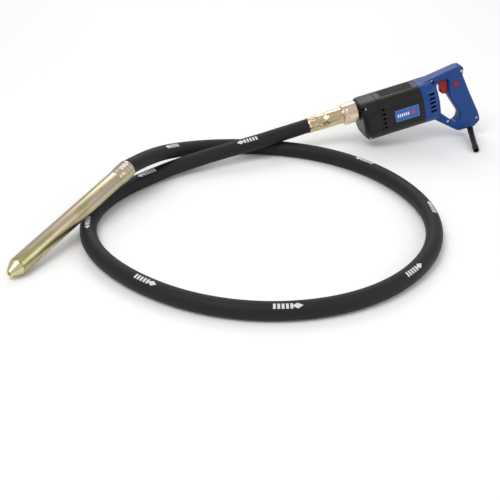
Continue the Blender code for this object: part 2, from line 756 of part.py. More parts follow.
def shell_half(unit, name, side):
    """One half of the clamshell: the end of the barrel, thinned into the D-handle, hollow and split at the middle."""
    outline = anticlockwise(filleted(shifted(HANDLE_OUTLINE)))
    opening = anticlockwise(filleted(shifted(HANDLE_OPENING)))
    levels = handle_levels(side, -0.002, HALF_HANDLE, HANDLE_ROUNDING)
    shell = placed(plate(outline, opening, levels), name, unit, finish="blue_plastic")
    barrel = []
    for share, draw_in, drop in BARREL_STATIONS:
        half_width = HALF_WIDTH - draw_in
        corner = min(BODY_CORNER, half_width * 0.7)
        x = SHELL_START + share * TAIL_LENGTH
        barrel.append(half_section(x, half_width, -HALF_HEIGHT - drop, HALF_HEIGHT + drop, corner, side))
    barrel = placed(skin(barrel), f"{name}_barrel", unit)
    hand_gap = prism(moved_in(opening, -0.0015), -BODY_WIDTH, BODY_WIDTH)
    cut(barrel, placed(hand_gap, f"{name}_hand_gap", unit))
    join(shell, barrel)
    low, high = sorted((side * GAP / 2, -side * 0.010))
    split = block((SHELL_START - 0.01, low, -0.2), (SHELL_START + 0.2, high, 0.2))
    cut(shell, placed(split, f"{name}_split", unit))
    inner_levels = [(-side * 0.001, HANDLE_WALL), (side * (HALF_HANDLE - HANDLE_WALL), HANDLE_WALL)]
    grip_hollow = placed(plate(outline, opening, inner_levels), f"{name}_hollow", unit)
    hollow = []
    for share, draw_in, drop in ((-0.02, 0, 0), *BARREL_STATIONS[1:-2]):
        half_width = HALF_WIDTH - BODY_WALL - draw_in * 1.15
        corner = min(BODY_CORNER - BODY_WALL, half_width * 0.7)
        x = SHELL_START + share * TAIL_LENGTH
        high = HALF_HEIGHT - BODY_WALL
        hollow.append(rounded_section(x, half_width, -high - drop, high + drop, corner))
    barrel_hollow = placed(skin(hollow), f"{name}_barrel_hollow", unit)
    for place, (x, z) in SHELL_SCREWS.items():
        for inside, radius in ((grip_hollow, SHELL_POST_RADIUS), (barrel_hollow, SHELL_POST_RADIUS + 0.0004)):
            if inside is barrel_hollow and x > TAIL_LENGTH:
                continue
            post = across(rod(-0.002, BODY_WIDTH, radius, 12), (0, 0, 0), side)
            cut(inside, placed(post, f"{inside.name}_post_{place}", unit, (SHELL_START + x, 0, z)))
    cut(shell, grip_hollow, barrel_hollow)
    for place, (x, z) in SHELL_SCREWS.items():
        at = (SHELL_START + x, 0, z)
        depth = HALF_WIDTH if side < 0 else SHELL_SCREW_LENGTH
        hole = across(rod(-0.001, depth, SHELL_SCREW_RADIUS + GAP, 12), (0, 0, 0), side)
        cut(shell, placed(hole, f"{name}_hole_{place}", unit, at))
        if side < 0:
            pocket = rod(HALF_HANDLE - SHELL_SCREW_SINK, HALF_WIDTH, SHELL_SCREW_HEAD + 0.0006, 16)
            cut(shell, placed(across(pocket, (0, 0, 0), side), f"pocket_{place}", unit, at))
    for i in range(VENTS):
        z = SHELL_VENT_TOP - i * SHELL_VENT_PITCH
        reach = sorted((side * 0.020, side * (HALF_WIDTH + 0.001)))
        slot = block(
            (SHELL_START + 0.0138, reach[0], z - SHELL_VENT_HEIGHT / 2),
            (SHELL_START + 0.0280, reach[1], z + SHELL_VENT_HEIGHT / 2),
        )
        cut(shell, placed(slot, f"{name}_vent_{i}", unit))
    x, z = TRIGGER_SLOT
    half = TRIGGER_WIDTH / 2 + RUNNING_GAP
    gap = block((SHELL_START + 0.0640, -half, z), (SHELL_START + x, half, TRIGGER_TOP + 0.0010))
    cut(shell, placed(gap, f"{name}_trigger_slot", unit))
    foot = (SHELL_START + SLEEVE_AT[0], 0, SLEEVE_AT[1])
    entry = rod(-0.001, SLEEVE_SOCKET + 0.004, SLEEVE_RADIUS + RUNNING_GAP, 24)
    cut(shell, placed(upright(entry), f"{name}_cable_entry", unit, (foot[0], 0, foot[2] - 0.004)))
    if side < 0:
        x, z = BUTTON_AT
        hole = rod(-HALF_HANDLE - 0.001, -HALF_HANDLE + 0.006, BUTTON_RADIUS + RUNNING_GAP, 24)
        cut(shell, placed(across(hole, (0, 0, 0)), f"{name}_button_hole", unit, (SHELL_START + x, 0, z)))
    return shell


# ---------------------------------------------------------------- power unit, inside


def bearing_plate(unit):
    """The plate between gears and motor, seating the spindle's rear bearing and the armature's front one."""
    inset = BODY_WALL + GAP
    plate_body = placed(
        skin([body_section(PLATE_START, inset), body_section(PLATE_END, inset)]), "bearing_plate", unit, finish="steel"
    )
    for bearing_size, at in ((ARMATURE_BEARING, (0, 0, 0)), (SMALL_BEARING, SPINDLE_AXIS)):
        hole = rod(PLATE_START - 0.001, PLATE_END + 0.001, bearing_size[0] + GAP, 40)
        cut(plate_body, placed(hole, f"plate_seat_{at[2]:.3f}", unit, at))
    for place, (y, z) in CAP_SCREWS.items():
        notch = rod(PLATE_START - 0.001, PLATE_END + 0.001, 0.0062, 20)
        cut(plate_body, placed(notch, f"plate_notch_{place}", unit, (0, y, z)))
    return plate_body


def field(unit):
    """The stack of stampings round the armature, and its two coils in their pockets."""
    inset = BODY_WALL + 0.0008
    core = placed(
        skin([body_section(CORE_START, inset), body_section(CORE_END, inset)]), "field_core", unit, finish="lamination"
    )
    cut(core, placed(rod(CORE_START - 0.001, CORE_END + 0.001, FIELD_RADIUS, 40), "field_bore", unit))
    for place, (y, z) in CAP_SCREWS.items():
        notch = rod(CORE_START - 0.001, CORE_END + 0.001, 0.0062, 20)
        cut(core, placed(notch, f"field_notch_{place}", unit, (0, y, z)))
    overhang = 0.006
    for name, middle in (("upper_field_coil", math.pi / 2), ("lower_field_coil", -math.pi / 2)):
        pocket = sector(CORE_START - 0.001, CORE_END + 0.001, FIELD_RADIUS - 0.001, COIL_OUTER + GAP, middle, COIL_SPAN + 0.01)
        cut(core, placed(pocket, f"{name}_pocket", unit))
        coil = sector(CORE_START - overhang, CORE_END + overhang, FIELD_RADIUS + 0.0004, COIL_OUTER, middle, COIL_SPAN)
        placed(coil, name, unit, finish="copper")


def sector(start, end, inner, outer, middle, half_span, steps=12):
    """A stretch of a thick ring round X, its ends flat."""
    ring = list(arc((0, 0), outer, middle - half_span, middle + half_span, steps))
    ring += list(arc((0, 0), inner, middle + half_span, middle - half_span, steps))
    return skin([[(x, y, z) for y, z in ring] for x in (start, end)])


def armature(unit):
    """Shaft, pinion, slotted core, windings, commutator and fan, all on the motor's axis."""
    front, rear = PLATE_START, REAR_BEARING_START
    profile = [
        (GEAR_START - 0.002, 0),
        (GEAR_START - 0.002, TIP_RADIUS),
        (front - 0.001, TIP_RADIUS),
        (front - 0.001, JOURNAL_RADIUS),
        (PLATE_END + 0.001, JOURNAL_RADIUS),
        (PLATE_END + 0.001, SHAFT_RADIUS),
        (COMMUTATOR_END + 0.001, SHAFT_RADIUS),
        (COMMUTATOR_END + 0.001, TIP_RADIUS),
        (rear + SMALL_BEARING[1] + 0.001, TIP_RADIUS),
        (rear + SMALL_BEARING[1] + 0.001, 0),
    ]
    placed(turned(profile, 24), "armature_shaft", unit)
    gear(unit, "pinion", PINION_TEETH, 0.0, (0, 0, 0), TIP_RADIUS + GAP, 0.001)
    core = placed(sleeve(CORE_START, CORE_END, SHAFT_RADIUS + GAP, CORE_RADIUS, 48), "armature_core", unit, finish="lamination")
    for i in range(ARMATURE_SLOTS):
        slot = block((CORE_START - 0.001, -0.0011, CORE_RADIUS - 0.006), (CORE_END + 0.001, 0.0011, CORE_RADIUS + 0.001))
        cut(core, placed(rolled(slot, i / ARMATURE_SLOTS), f"armature_slot_{i}", unit))
    for name, start, end in (
        ("front_winding", CORE_START - 0.0070, CORE_START - GAP),
        ("rear_winding", CORE_END + GAP, CORE_END + 0.0070),
    ):
        bulge = (end - start) * 0.25
        profile = [
            (start, SHAFT_RADIUS + GAP),
            (start, CORE_RADIUS - 0.0055),
            (start + bulge, CORE_RADIUS - 0.0025),
            (end - bulge, CORE_RADIUS - 0.0025),
            (end, CORE_RADIUS - 0.0055),
            (end, SHAFT_RADIUS + GAP),
        ]
        placed(turned(profile, 24, ring=True), name, unit, finish="copper")
    placed(
        sleeve(COMMUTATOR_START, COMMUTATOR_END, SHAFT_RADIUS + GAP, COMMUTATOR_RADIUS, 24), "commutator", unit, finish="copper", smooth=10
    )
    fan_start = CASING_START + 0.0025
    fan = placed(sleeve(fan_start, fan_start + 0.002, SHAFT_RADIUS + GAP, FAN_RADIUS, 32), "cooling_fan", unit, finish="black_plastic")
    join(fan, placed(sleeve(fan_start + 0.001, fan_start + 0.010, SHAFT_RADIUS + GAP, 0.010, 24), "fan_hub", unit))
    for i in range(FAN_BLADES):
        blade = block((fan_start + 0.001, -0.0006, 0.009), (fan_start + 0.009, 0.0006, FAN_RADIUS - 0.001))
        join(fan, placed(rolled(blade, i / FAN_BLADES), f"fan_blade_{i}", unit))
    bearing("armature_front_bearing", unit, PLATE_START, ARMATURE_BEARING, JOURNAL_RADIUS + RUNNING_GAP, (0, 0, 0))
    bearing("armature_rear_bearing", unit, rear, SMALL_BEARING, TIP_RADIUS + RUNNING_GAP, (0, 0, 0))


def gear(unit, name, teeth, turn, at, bore, early):
    """A spur gear round X. Its outline is drawn in Y and Z, and the blank's bore is cut out."""
    outline = gear_outline(teeth, MODULE, turn)
    start, end = GEAR_START - early, GEAR_END + early * 0.5
    made = placed(skin([[(x, a, b) for a, b in outline] for x in (start, end)]), name, unit, at, "steel", 25)
    cut(made, placed(rod(start - 0.001, end + 0.001, bore, 24), f"{name}_bore", unit, at))
    return made


def rear_bearing_bracket(unit):
    """The spider behind the commutator that holds the armature's rear bearing."""
    start, end = REAR_BEARING_START - 0.0005, REAR_BEARING_START + SMALL_BEARING[1]
    inset = BODY_WALL + 0.0006
    ring = placed(sleeve(start, end, SMALL_BEARING[0] + GAP, 0.0140, 32), "rear_bearing_bracket", unit, finish="black_plastic")
    arm = block((start + 0.001, -HALF_WIDTH + inset, -0.004), (end - 0.001, HALF_WIDTH - inset, 0.004))
    arm_object = placed(arm, "bracket_arm", unit)
    cut(arm_object, placed(rod(start - 0.001, end + 0.001, 0.0120, 32), "bracket_eye", unit))
    join(ring, arm_object)
    return ring


def brush_gear(unit):
    """On each side: a brass holder, the carbon brush in it and the spring behind the brush."""
    x = (COMMUTATOR_START + COMMUTATOR_END) / 2
    tip = COMMUTATOR_RADIUS + 0.0002
    for word, side in (("left", -1), ("right", 1)):
        outer = HALF_WIDTH - BODY_WALL - 0.0008
        low, high = sorted((side * (COMMUTATOR_RADIUS + 0.0020), side * outer))
        holder = placed(block((x - 0.0058, low, -0.0063), (x + 0.0058, high, 0.0063)), f"{word}_brush_holder", unit, finish="brass")
        low, high = sorted((side * (COMMUTATOR_RADIUS - 0.001), side * (outer - 0.0015)))
        cut(holder, placed(block((x - 0.0043, low, -0.0048), (x + 0.0043, high, 0.0048)), f"{word}_brush_way", unit))
        low, high = sorted((side * tip, side * (tip + 0.0130)))
        placed(block((x - 0.0040, low, -0.0045), (x + 0.0040, high, 0.0045)), f"{word}_brush", unit, finish="carbon")
        start, end = tip + 0.0139, outer - 0.0024
        points = [(x + b, side * a, c) for a, b, c in spring_points(start, end, 0.0030, 4)]
        wire(points, 0.0004, f"{word}_brush_spring", unit, resolution=0)


def spindle(unit):
    """The output spindle, its gear and its bearings. Its front end takes the core's square."""
    seat, width = SPINDLE_BEARING
    shoulder = FRONT_WALL + width + 0.0004
    profile = [
        (-0.0140, 0),
        (-0.0140, SPINDLE_RADIUS),
        (shoulder, SPINDLE_RADIUS),
        (shoulder, SPINDLE_RADIUS + 0.0020),
        (GEAR_START - 0.0012, SPINDLE_RADIUS + 0.0020),
        (GEAR_START - 0.0012, SHAFT_RADIUS),
        (PLATE_START - 0.001, SHAFT_RADIUS),
        (PLATE_START - 0.001, TIP_RADIUS),
        (PLATE_START + SMALL_BEARING[1] + 0.0008, TIP_RADIUS),
        (PLATE_START + SMALL_BEARING[1] + 0.0008, 0),
    ]
    shaft = placed(turned(profile, 32), "spindle", unit, SPINDLE_AXIS)
    half = DRIVE_SQUARE / 2
    cut(shaft, placed(block((-0.0150, -half, -half), (0.0020, half, half)), "drive_socket", unit, SPINDLE_AXIS))
    gear(unit, "drive_gear", GEAR_TEETH, 0.5, SPINDLE_AXIS, SHAFT_RADIUS + GAP, 0.0)
    bearing("spindle_front_bearing", unit, FRONT_WALL + GAP, (seat, width - GAP), SPINDLE_RADIUS + RUNNING_GAP, SPINDLE_AXIS)
    bearing("spindle_rear_bearing", unit, PLATE_START + GAP, SMALL_BEARING, TIP_RADIUS + RUNNING_GAP, SPINDLE_AXIS)


def switch(unit):
    """The trigger, its switch body and spring, and the lock-on button with its own spring."""
    (x1, y1, z1), (x2, y2, z2) = SWITCH_BOX
    body = placed(block((SHELL_START + x1, y1, z1), (SHELL_START + x2, y2, z2)), "switch_body", unit, finish="black_plastic")
    spring_z = (z1 + z2) / 2 - 0.004
    well = rod(SHELL_START + x1 - 0.001, SHELL_START + x1 + TRIGGER_TRAVEL + 0.0075, 0.0042, 20)
    cut(body, placed(well, "spring_well", unit, (0, 0, spring_z)))
    bx, bz = BUTTON_AT
    button_back = -HALF_HANDLE + 0.0048
    profile = [
        (-HALF_HANDLE - 0.0010, 0),
        (-HALF_HANDLE - 0.0010, BUTTON_RADIUS - 0.0012),
        (-HALF_HANDLE - 0.0002, BUTTON_RADIUS),
        (-HALF_HANDLE + 0.0030, BUTTON_RADIUS),
        (-HALF_HANDLE + 0.0030, BUTTON_RADIUS - 0.0020),
        (button_back, BUTTON_RADIUS - 0.0020),
        (button_back, 0),
    ]
    at = (SHELL_START + bx, 0, bz)
    placed(across(turned(profile, 32), (0, 0, 0)), "lock_button", unit, at, "red_plastic")
    top, low = TRIGGER_TOP, TRIGGER_SLOT[1] + RUNNING_GAP
    face = TRIGGER_FACE
    corners = [
        (face - 0.0015, top, 0.002),
        (face + 0.0012, top - 0.0140, 0.012),
        (face + 0.0008, low + 0.0050, 0.004),
        (face + 0.0060, low, 0.002),
        (x1 - TRIGGER_TRAVEL - 0.0008, low, 0.0015),
        (x1 - TRIGGER_TRAVEL - 0.0008, top, 0.0015),
    ]
    outline = anticlockwise(filleted(shifted(corners)))
    half, bevel = TRIGGER_WIDTH / 2, 0.0012
    rings = []
    for y, inset in ((-half, bevel), (-half + bevel, 0), (half - bevel, 0), (half, bevel)):
        rings.append([(p.x, y, p.y) for p in moved_in(outline, inset)])
    placed(skin(rings), "trigger", unit, finish="red_plastic")
    start, end = x1 - TRIGGER_TRAVEL - 0.0002, x1 + 0.0060
    points = [(SHELL_START + a, b, spring_z + c) for a, b, c in spring_points(start, end, 0.0032, 4)]
    wire(points, 0.0004, "trigger_spring", unit, resolution=0)


def cable_entry(unit):
    """The rubber sleeve, bent over where it meets the floor, and the clamp inside the handle."""
    foot = Vector((SHELL_START + SLEEVE_AT[0], 0, SLEEVE_AT[1]))
    top = foot + Vector((0, 0, SLEEVE_SOCKET - 0.001))
    bend = foot + Vector((0, 0, -0.0045))
    knee = bend + Vector((0.0010, -0.0020, -0.0130))
    end = foot + SLEEVE_REACH
    drag = end + Vector((0.0170, 0.0600, 0.0040))
    path = [top.lerp(bend, i / 3) for i in range(3)]
    for i in range(25):
        t = i / 24
        s = 1 - t
        path.append(s**3 * bend + 3 * s * s * t * knee + 3 * s * t * t * drag + t**3 * end)
    profile = [
        (0.0, SLEEVE_RADIUS),
        (0.15, SLEEVE_RADIUS),
        (0.5, SLEEVE_RADIUS * 0.90),
        (0.85, SLEEVE_RADIUS * 0.84),
        (0.93, SLEEVE_RADIUS * 0.95),
        (0.98, SLEEVE_RADIUS * 0.95),
        (1.0, SLEEVE_RADIUS * 0.80),
        (1.0, SLEEVE_BORE),
        (0.80, SLEEVE_BORE),
        (0.50, SLEEVE_BORE),
        (0.0, SLEEVE_BORE),
    ]
    steps = []
    for (a, r), (b, q) in zip(profile, profile[1:]):
        count = max(1, round(abs(b - a) * 14))
        steps += [(a + (b - a) * i / count, r + (q - r) * i / count) for i in range(count)]
    steps.append(profile[-1])
    placed(tube_along(path, steps), "cable_sleeve", unit, finish="rubber")
    x, z = SHELL_START + SLEEVE_AT[0], SLEEVE_AT[1] + SLEEVE_SOCKET + 0.0035
    clamp = placed(block((x - 0.0090, -0.0090, z), (x + 0.0060, 0.0090, z + 0.0050)), "cable_clamp", unit, finish="black_plastic")
    cut(clamp, placed(upright(rod(-0.001, 0.007, SLEEVE_BORE, 20)), "clamp_way", unit, (x, 0, z)))


# ---------------------------------------------------------------- coupling, hose and poker


def coupling(unit):
    """The union nut over the neck, the ferrule with its flange, and the flexible core's square end."""
    lip = 0.0030
    start = -COLLAR_LENGTH - 0.0030
    end = start + COLLAR_LENGTH
    collar_profile = [
        (start, COLLAR_RADIUS - 0.0012),
        (start + 0.0012, COLLAR_RADIUS),
        (end - 0.0012, COLLAR_RADIUS),
        (end, COLLAR_RADIUS - 0.0012),
        (end, NECK_RADIUS + RUNNING_GAP),
        (start + lip, NECK_RADIUS + RUNNING_GAP),
        (start + lip, FERRULE_RADIUS + RUNNING_GAP),
        (start, FERRULE_RADIUS + RUNNING_GAP),
    ]
    collar = placed(turned(collar_profile, 40, ring=True), "coupling_collar", unit, SPINDLE_AXIS, "zinc_gold")
    for i in range(COLLAR_NOTCHES):
        notch = block((end - 0.0040, -0.0016, NECK_RADIUS - 0.001), (end + 0.001, 0.0016, COLLAR_RADIUS + 0.001))
        notch = rolled(notch, (i + 0.5) / COLLAR_NOTCHES)
        cut(collar, placed(notch, f"collar_notch_{i}", unit, SPINDLE_AXIS))
    flange_end = -NECK_LENGTH - GAP
    flange_start = flange_end - FLANGE_LENGTH
    mouth = FERRULE_MOUTH
    hose_bore = HOSE_RADIUS + 0.0007
    profile = [
        (mouth, FERRULE_RADIUS - 0.0008),
        (mouth + 0.0020, FERRULE_RADIUS - 0.0004),
        (mouth + 0.0300, FERRULE_RADIUS),
        (flange_start, FERRULE_RADIUS),
        (flange_start, NECK_RADIUS),
        (flange_end, NECK_RADIUS),
        (flange_end, FERRULE_BORE),
        (mouth + HOSE_INSERT + 0.002, FERRULE_BORE),
        (mouth + HOSE_INSERT + 0.002, hose_bore),
        (mouth, hose_bore),
    ]
    placed(turned(profile, 40, ring=True), "hose_ferrule", unit, SPINDLE_AXIS, "zinc_gold")
    half = DRIVE_SQUARE / 2 - GAP
    square = placed(block((-0.0200, -half, -half), (-0.0010, half, half)), "core_drive_end", unit, SPINDLE_AXIS, "steel")
    join(square, placed(rod(-0.0700, -0.0180, 0.0060, 24), "core_rod", unit, SPINDLE_AXIS))


def poker(head):
    """The steel head along X from its nose: tube, tip, tail, and the weight on its two bearings."""
    tube_start, tube_end = NOSE_LENGTH + GAP, POKER_LENGTH - TAIL_PIECE_LENGTH - GAP
    bore = POKER_RADIUS - POKER_WALL
    fit = bore - GAP
    plug = 0.014
    profile = [
        (0.0080, 0),
        (0.0065, 0.0022),
        (0, 0.0026),
        (0, NOSE_FLAT_RADIUS),
        (NOSE_LENGTH - 0.0010, POKER_RADIUS - 0.0004),
        (NOSE_LENGTH, POKER_RADIUS - 0.0008),
        (NOSE_LENGTH, fit),
        (NOSE_LENGTH + plug, fit),
        (NOSE_LENGTH + plug, 0),
    ]
    placed(turned(profile, 40), "poker_nose", head, finish="olive_steel")
    placed(sleeve(tube_start, tube_end, bore, POKER_RADIUS, 40), "poker_tube", head, finish="olive_steel")
    start, end = tube_end + GAP, POKER_LENGTH
    hose_bore = HOSE_RADIUS + 0.0007
    rim, groove = HOSE_RADIUS + 0.0022, HOSE_RADIUS + 0.0014
    profile = [
        (start - 0.015, fit),
        (start, fit),
        (start, POKER_RADIUS),
    ]
    for i in range(TAIL_GROOVES):
        x = start + 0.0145 + i * 0.0075
        profile += [(x, rim), (x + 0.0010, groove), (x + 0.0030, groove), (x + 0.0040, rim)]
    profile += [
        (end - 0.0015, rim),
        (end, rim - 0.0012),
        (end, hose_bore),
        (end - HOSE_INSERT - 0.002, hose_bore),
        (end - HOSE_INSERT - 0.002, 0.0100),
        (start - 0.015, 0.0100),
    ]
    placed(turned(profile, 36, ring=True), "poker_tail", head, finish="olive_steel")

    weight_start = tube_start + plug + POKER_BEARING_WIDTH + 0.012
    weight_end = weight_start + WEIGHT_LENGTH
    seal_start = weight_end + POKER_BEARING_WIDTH + 0.010
    profile = [
        (weight_start - POKER_BEARING_WIDTH - 0.006, 0),
        (weight_start - POKER_BEARING_WIDTH - 0.006, WEIGHT_JOURNAL),
        (weight_start, WEIGHT_JOURNAL),
        (weight_start, WEIGHT_RADIUS),
        (weight_end, WEIGHT_RADIUS),
        (weight_end, WEIGHT_JOURNAL),
        (seal_start + 0.010, WEIGHT_JOURNAL),
        (seal_start + 0.010, 0),
    ]
    weight = placed(turned(profile, 24), "eccentric_weight", head)
    half = block((weight_start + 0.008, -WEIGHT_RADIUS - 0.001, 0.0020), (weight_end - 0.008, WEIGHT_RADIUS + 0.001, WEIGHT_RADIUS + 0.001))
    cut(weight, placed(half, "weight_flat", head))
    size = (fit, POKER_BEARING_WIDTH)
    journal = WEIGHT_JOURNAL + RUNNING_GAP
    bearing("poker_front_bearing", head, weight_start - POKER_BEARING_WIDTH - 0.004, size, journal, (0, 0, 0))
    bearing("poker_rear_bearing", head, weight_end + 0.004, size, journal, (0, 0, 0))
    seal = sleeve(seal_start, seal_start + 0.007, journal, fit, 32)
    placed(seal, "oil_seal", head, finish="seal_rubber")
    core = rod(seal_start + 0.0105, POKER_LENGTH - HOSE_INSERT - 0.004, 0.0055, 24)
    placed(core, "core_driven_end", head, finish="steel")


def hose(unit, head):
    """The hose, straight out of both its sockets and along its own route between them."""
    ends = []
    for frame, middle, mouth, inward in (
        (unit, SPINDLE_OFFSET, FERRULE_MOUTH, 1),
        (head, 0.0, POKER_LENGTH, -1),
    ):
        inside, at_mouth = (
            frame.matrix_world @ Vector((mouth + inward * reach, 0, middle)) for reach in (HOSE_INSERT, -HOSE_LEAD)
        )
        ends.append((inside, at_mouth))
    (first, first_mouth), (last, last_mouth) = ends
    route = smooth_curve([first, first_mouth, *HOSE_ROUTE, last_mouth, last], HOSE_POINT_SPACING)
    wire([first, *route, last], HOSE_RADIUS, "hose", finish="rubber", resolution=4)


# ---------------------------------------------------------------- the whole


def stand(name, at, turn, tilt):
    """An empty that a rigid group hangs on: its X axis turned in plan and then raised by tilt."""
    empty = bpy.data.objects.new(name, None)
    bpy.context.scene.collection.objects.link(empty)
    empty.location = at
    empty.rotation_euler = (0, -tilt, turn)
    return empty


def build():
    for thing in list(bpy.data.objects):
        bpy.data.objects.remove(thing)
    unit = stand("power_unit", MOTOR_AT, 0, MOTOR_TILT)
    # the mouth stays where the hose meets it, and the tilt rests a poker of any length on its nose
    poker_tilt = math.asin((POKER_MOUTH_AT.z - NOSE_HEIGHT) / POKER_LENGTH)
    level = math.cos(poker_tilt)
    along = Vector((level * math.cos(POKER_TURN), level * math.sin(POKER_TURN), math.sin(poker_tilt)))
    head = stand("poker_head", POKER_MOUTH_AT - POKER_LENGTH * along, POKER_TURN, poker_tilt)
    bpy.context.view_layer.update()
    front_cap(unit)
    motor_casing(unit)
    label_plate(unit, "left_label_plate", -1)
    label_plate(unit, "right_label_plate", 1)
    shell_half(unit, "left_shell", -1)
    shell_half(unit, "right_shell", 1)
    for place, (y, z) in CAP_SCREWS.items():
        at = (SCREW_SEAT - GAP, y, z)
        screw(f"cap_screw_{place}", unit, CAP_SCREW_HEAD, CAP_SCREW_RADIUS, CAP_SCREW_LENGTH, at)
    for place, (x, z) in SHELL_SCREWS.items():
        at = (SHELL_START + x, -HALF_HANDLE + SHELL_SCREW_SINK - GAP, z)
        length = HALF_HANDLE - SHELL_SCREW_SINK + SHELL_SCREW_LENGTH - 0.002
        screw(f"handle_screw_{place}", unit, SHELL_SCREW_HEAD, SHELL_SCREW_RADIUS, length, at, lengthwise=False)
    bearing_plate(unit)
    field(unit)
    armature(unit)
    rear_bearing_bracket(unit)
    brush_gear(unit)
    spindle(unit)
    switch(unit)
    cable_entry(unit)
    coupling(unit)
    poker(head)
    hose(unit, head)


build()
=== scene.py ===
# %% [markdown]
# # A hand-held concrete vibrator
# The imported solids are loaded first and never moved. Everything below dresses them: it sets the camera and
# the light, replaces the plain solids with finer surfaces where that shows, and gives each piece a finish.

import math

import bmesh
import bpy
import numpy as np
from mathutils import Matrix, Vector


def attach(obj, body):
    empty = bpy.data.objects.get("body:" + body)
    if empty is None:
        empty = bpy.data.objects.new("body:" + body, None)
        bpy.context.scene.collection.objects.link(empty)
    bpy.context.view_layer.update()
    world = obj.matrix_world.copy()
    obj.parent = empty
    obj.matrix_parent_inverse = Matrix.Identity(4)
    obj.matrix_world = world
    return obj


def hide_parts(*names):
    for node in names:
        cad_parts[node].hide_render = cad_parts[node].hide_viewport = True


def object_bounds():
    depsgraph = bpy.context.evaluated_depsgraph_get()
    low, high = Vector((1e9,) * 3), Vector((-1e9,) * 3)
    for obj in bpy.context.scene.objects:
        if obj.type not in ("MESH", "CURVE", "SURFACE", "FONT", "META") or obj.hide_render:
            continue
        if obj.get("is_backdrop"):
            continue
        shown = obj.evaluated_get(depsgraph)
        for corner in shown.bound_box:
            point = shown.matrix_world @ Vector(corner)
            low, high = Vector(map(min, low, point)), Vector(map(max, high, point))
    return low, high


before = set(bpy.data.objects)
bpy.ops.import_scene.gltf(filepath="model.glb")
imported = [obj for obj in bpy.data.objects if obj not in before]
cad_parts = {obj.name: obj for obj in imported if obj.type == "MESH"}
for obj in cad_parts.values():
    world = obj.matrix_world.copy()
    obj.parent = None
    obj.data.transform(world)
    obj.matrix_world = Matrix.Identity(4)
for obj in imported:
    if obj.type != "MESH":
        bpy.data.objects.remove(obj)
cad_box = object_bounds()
print("nodes", len(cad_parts), "box", [[round(v, 3) for v in corner] for corner in cad_box])

# %% [markdown]
# The power unit and the poker each lie along a line of their own. A small class keeps such a line: where it
# starts and three axes. Points are then written in the piece's own terms, so far along, so far across and
# so far up, which is how a maker would dimension them.

# %% Two lines to build along


class Line:
    """A place and three axes: along the piece, across it and up from it."""

    def __init__(self, at, turn, tilt):
        east, north = math.cos(turn), math.sin(turn)
        level, rise = math.cos(tilt), math.sin(tilt)
        self.at = np.array(at)
        self.axes = np.array([
            (east * level, north * level, rise),
            (-north, east, 0.0),
            (-east * rise, -north * rise, level),
        ])

    def place(self, points):
        """World points of an array of (along, across, up) ones."""
        return self.at + np.asarray(points) @ self.axes

    def raised(self, height):
        """The same line, moved up by a height of its own."""
        other = Line(self.at, 0, 0)
        other.axes = self.axes
        other.at = self.at + height * self.axes[2]
        return other


MOTOR_AT, MOTOR_TILT, SPINDLE_RISE = (0.2325, 0.1961, 0.0560), math.radians(13.3), 0.0225
POKER_AT, POKER_TURN, POKER_TILT = (-0.5025, -0.2347, 0.0136), math.radians(48.5), math.radians(9.6)
motor = Line(MOTOR_AT, 0, MOTOR_TILT)
spindle = motor.raised(SPINDLE_RISE)
poker = Line(POKER_AT, POKER_TURN, POKER_TILT)
print("spindle line starts at", spindle.at.round(4), "poker line at", poker.at.round(4))

# %% [markdown]
# The camera stands to the left of the object's middle, well above it, with a lens of about 67 mm, so near
# and far parts of the hose differ clearly in width. The floor is plain and pale, and three large lamps give
# soft shadows.

# %% Camera
camera_data = bpy.data.cameras.new("camera")
camera_data.lens = 67.03
camera = bpy.data.objects.new("camera", camera_data)
bpy.context.scene.collection.objects.link(camera)
camera.location = (-0.4030, -1.5907, 0.7800)
camera.rotation_euler = (math.radians(90 - 29), 0, math.radians(-12.5))
bpy.context.scene.camera = camera
print("camera at", tuple(round(v, 3) for v in camera.location))

# %% Light and floor
world = bpy.data.worlds.new("studio")
world.use_nodes = True
world.node_tree.nodes["Background"].inputs["Color"].default_value = (1.0, 1.0, 1.0, 1.0)
world.node_tree.nodes["Background"].inputs["Strength"].default_value = 0.62
bpy.context.scene.world = world
bpy.context.scene.view_settings.view_transform = "Standard"


def lamp(name, at, target, size, watts):
    """A square soft box that faces a point."""
    data = bpy.data.lights.new(name, "AREA")
    data.size = size
    data.energy = watts
    thing = bpy.data.objects.new(name, data)
    bpy.context.scene.collection.objects.link(thing)
    thing.location = at
    thing.rotation_euler = (Vector(target) - Vector(at)).to_track_quat("-Z", "Y").to_euler()


lamp("key", (-1.2, -1.1, 2.4), (0, 0, 0), 1.4, 34)
lamp("fill", (1.9, -1.3, 1.5), (0, 0, 0), 1.6, 14)
lamp("back", (0.4, 2.2, 1.9), (0, 0, 0), 1.6, 20)
floor_mesh = bpy.data.meshes.new("floor")
floor_mesh.from_pydata([(-9, -9, 0), (9, -9, 0), (9, 9, 0), (-9, 9, 0)], [], [(0, 1, 2, 3)])
floor = bpy.data.objects.new("floor", floor_mesh)
bpy.context.scene.collection.objects.link(floor)
floor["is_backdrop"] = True

# %% [markdown]
# A finish is a tree of shader nodes. Building one by hand is wordy, so a small class wraps a socket and
# lets plain Python operators add the Math nodes. A second class holds the material and has one method that
# makes any other node. Every finish below is then a few lines that read like arithmetic.

# %% Shader helpers


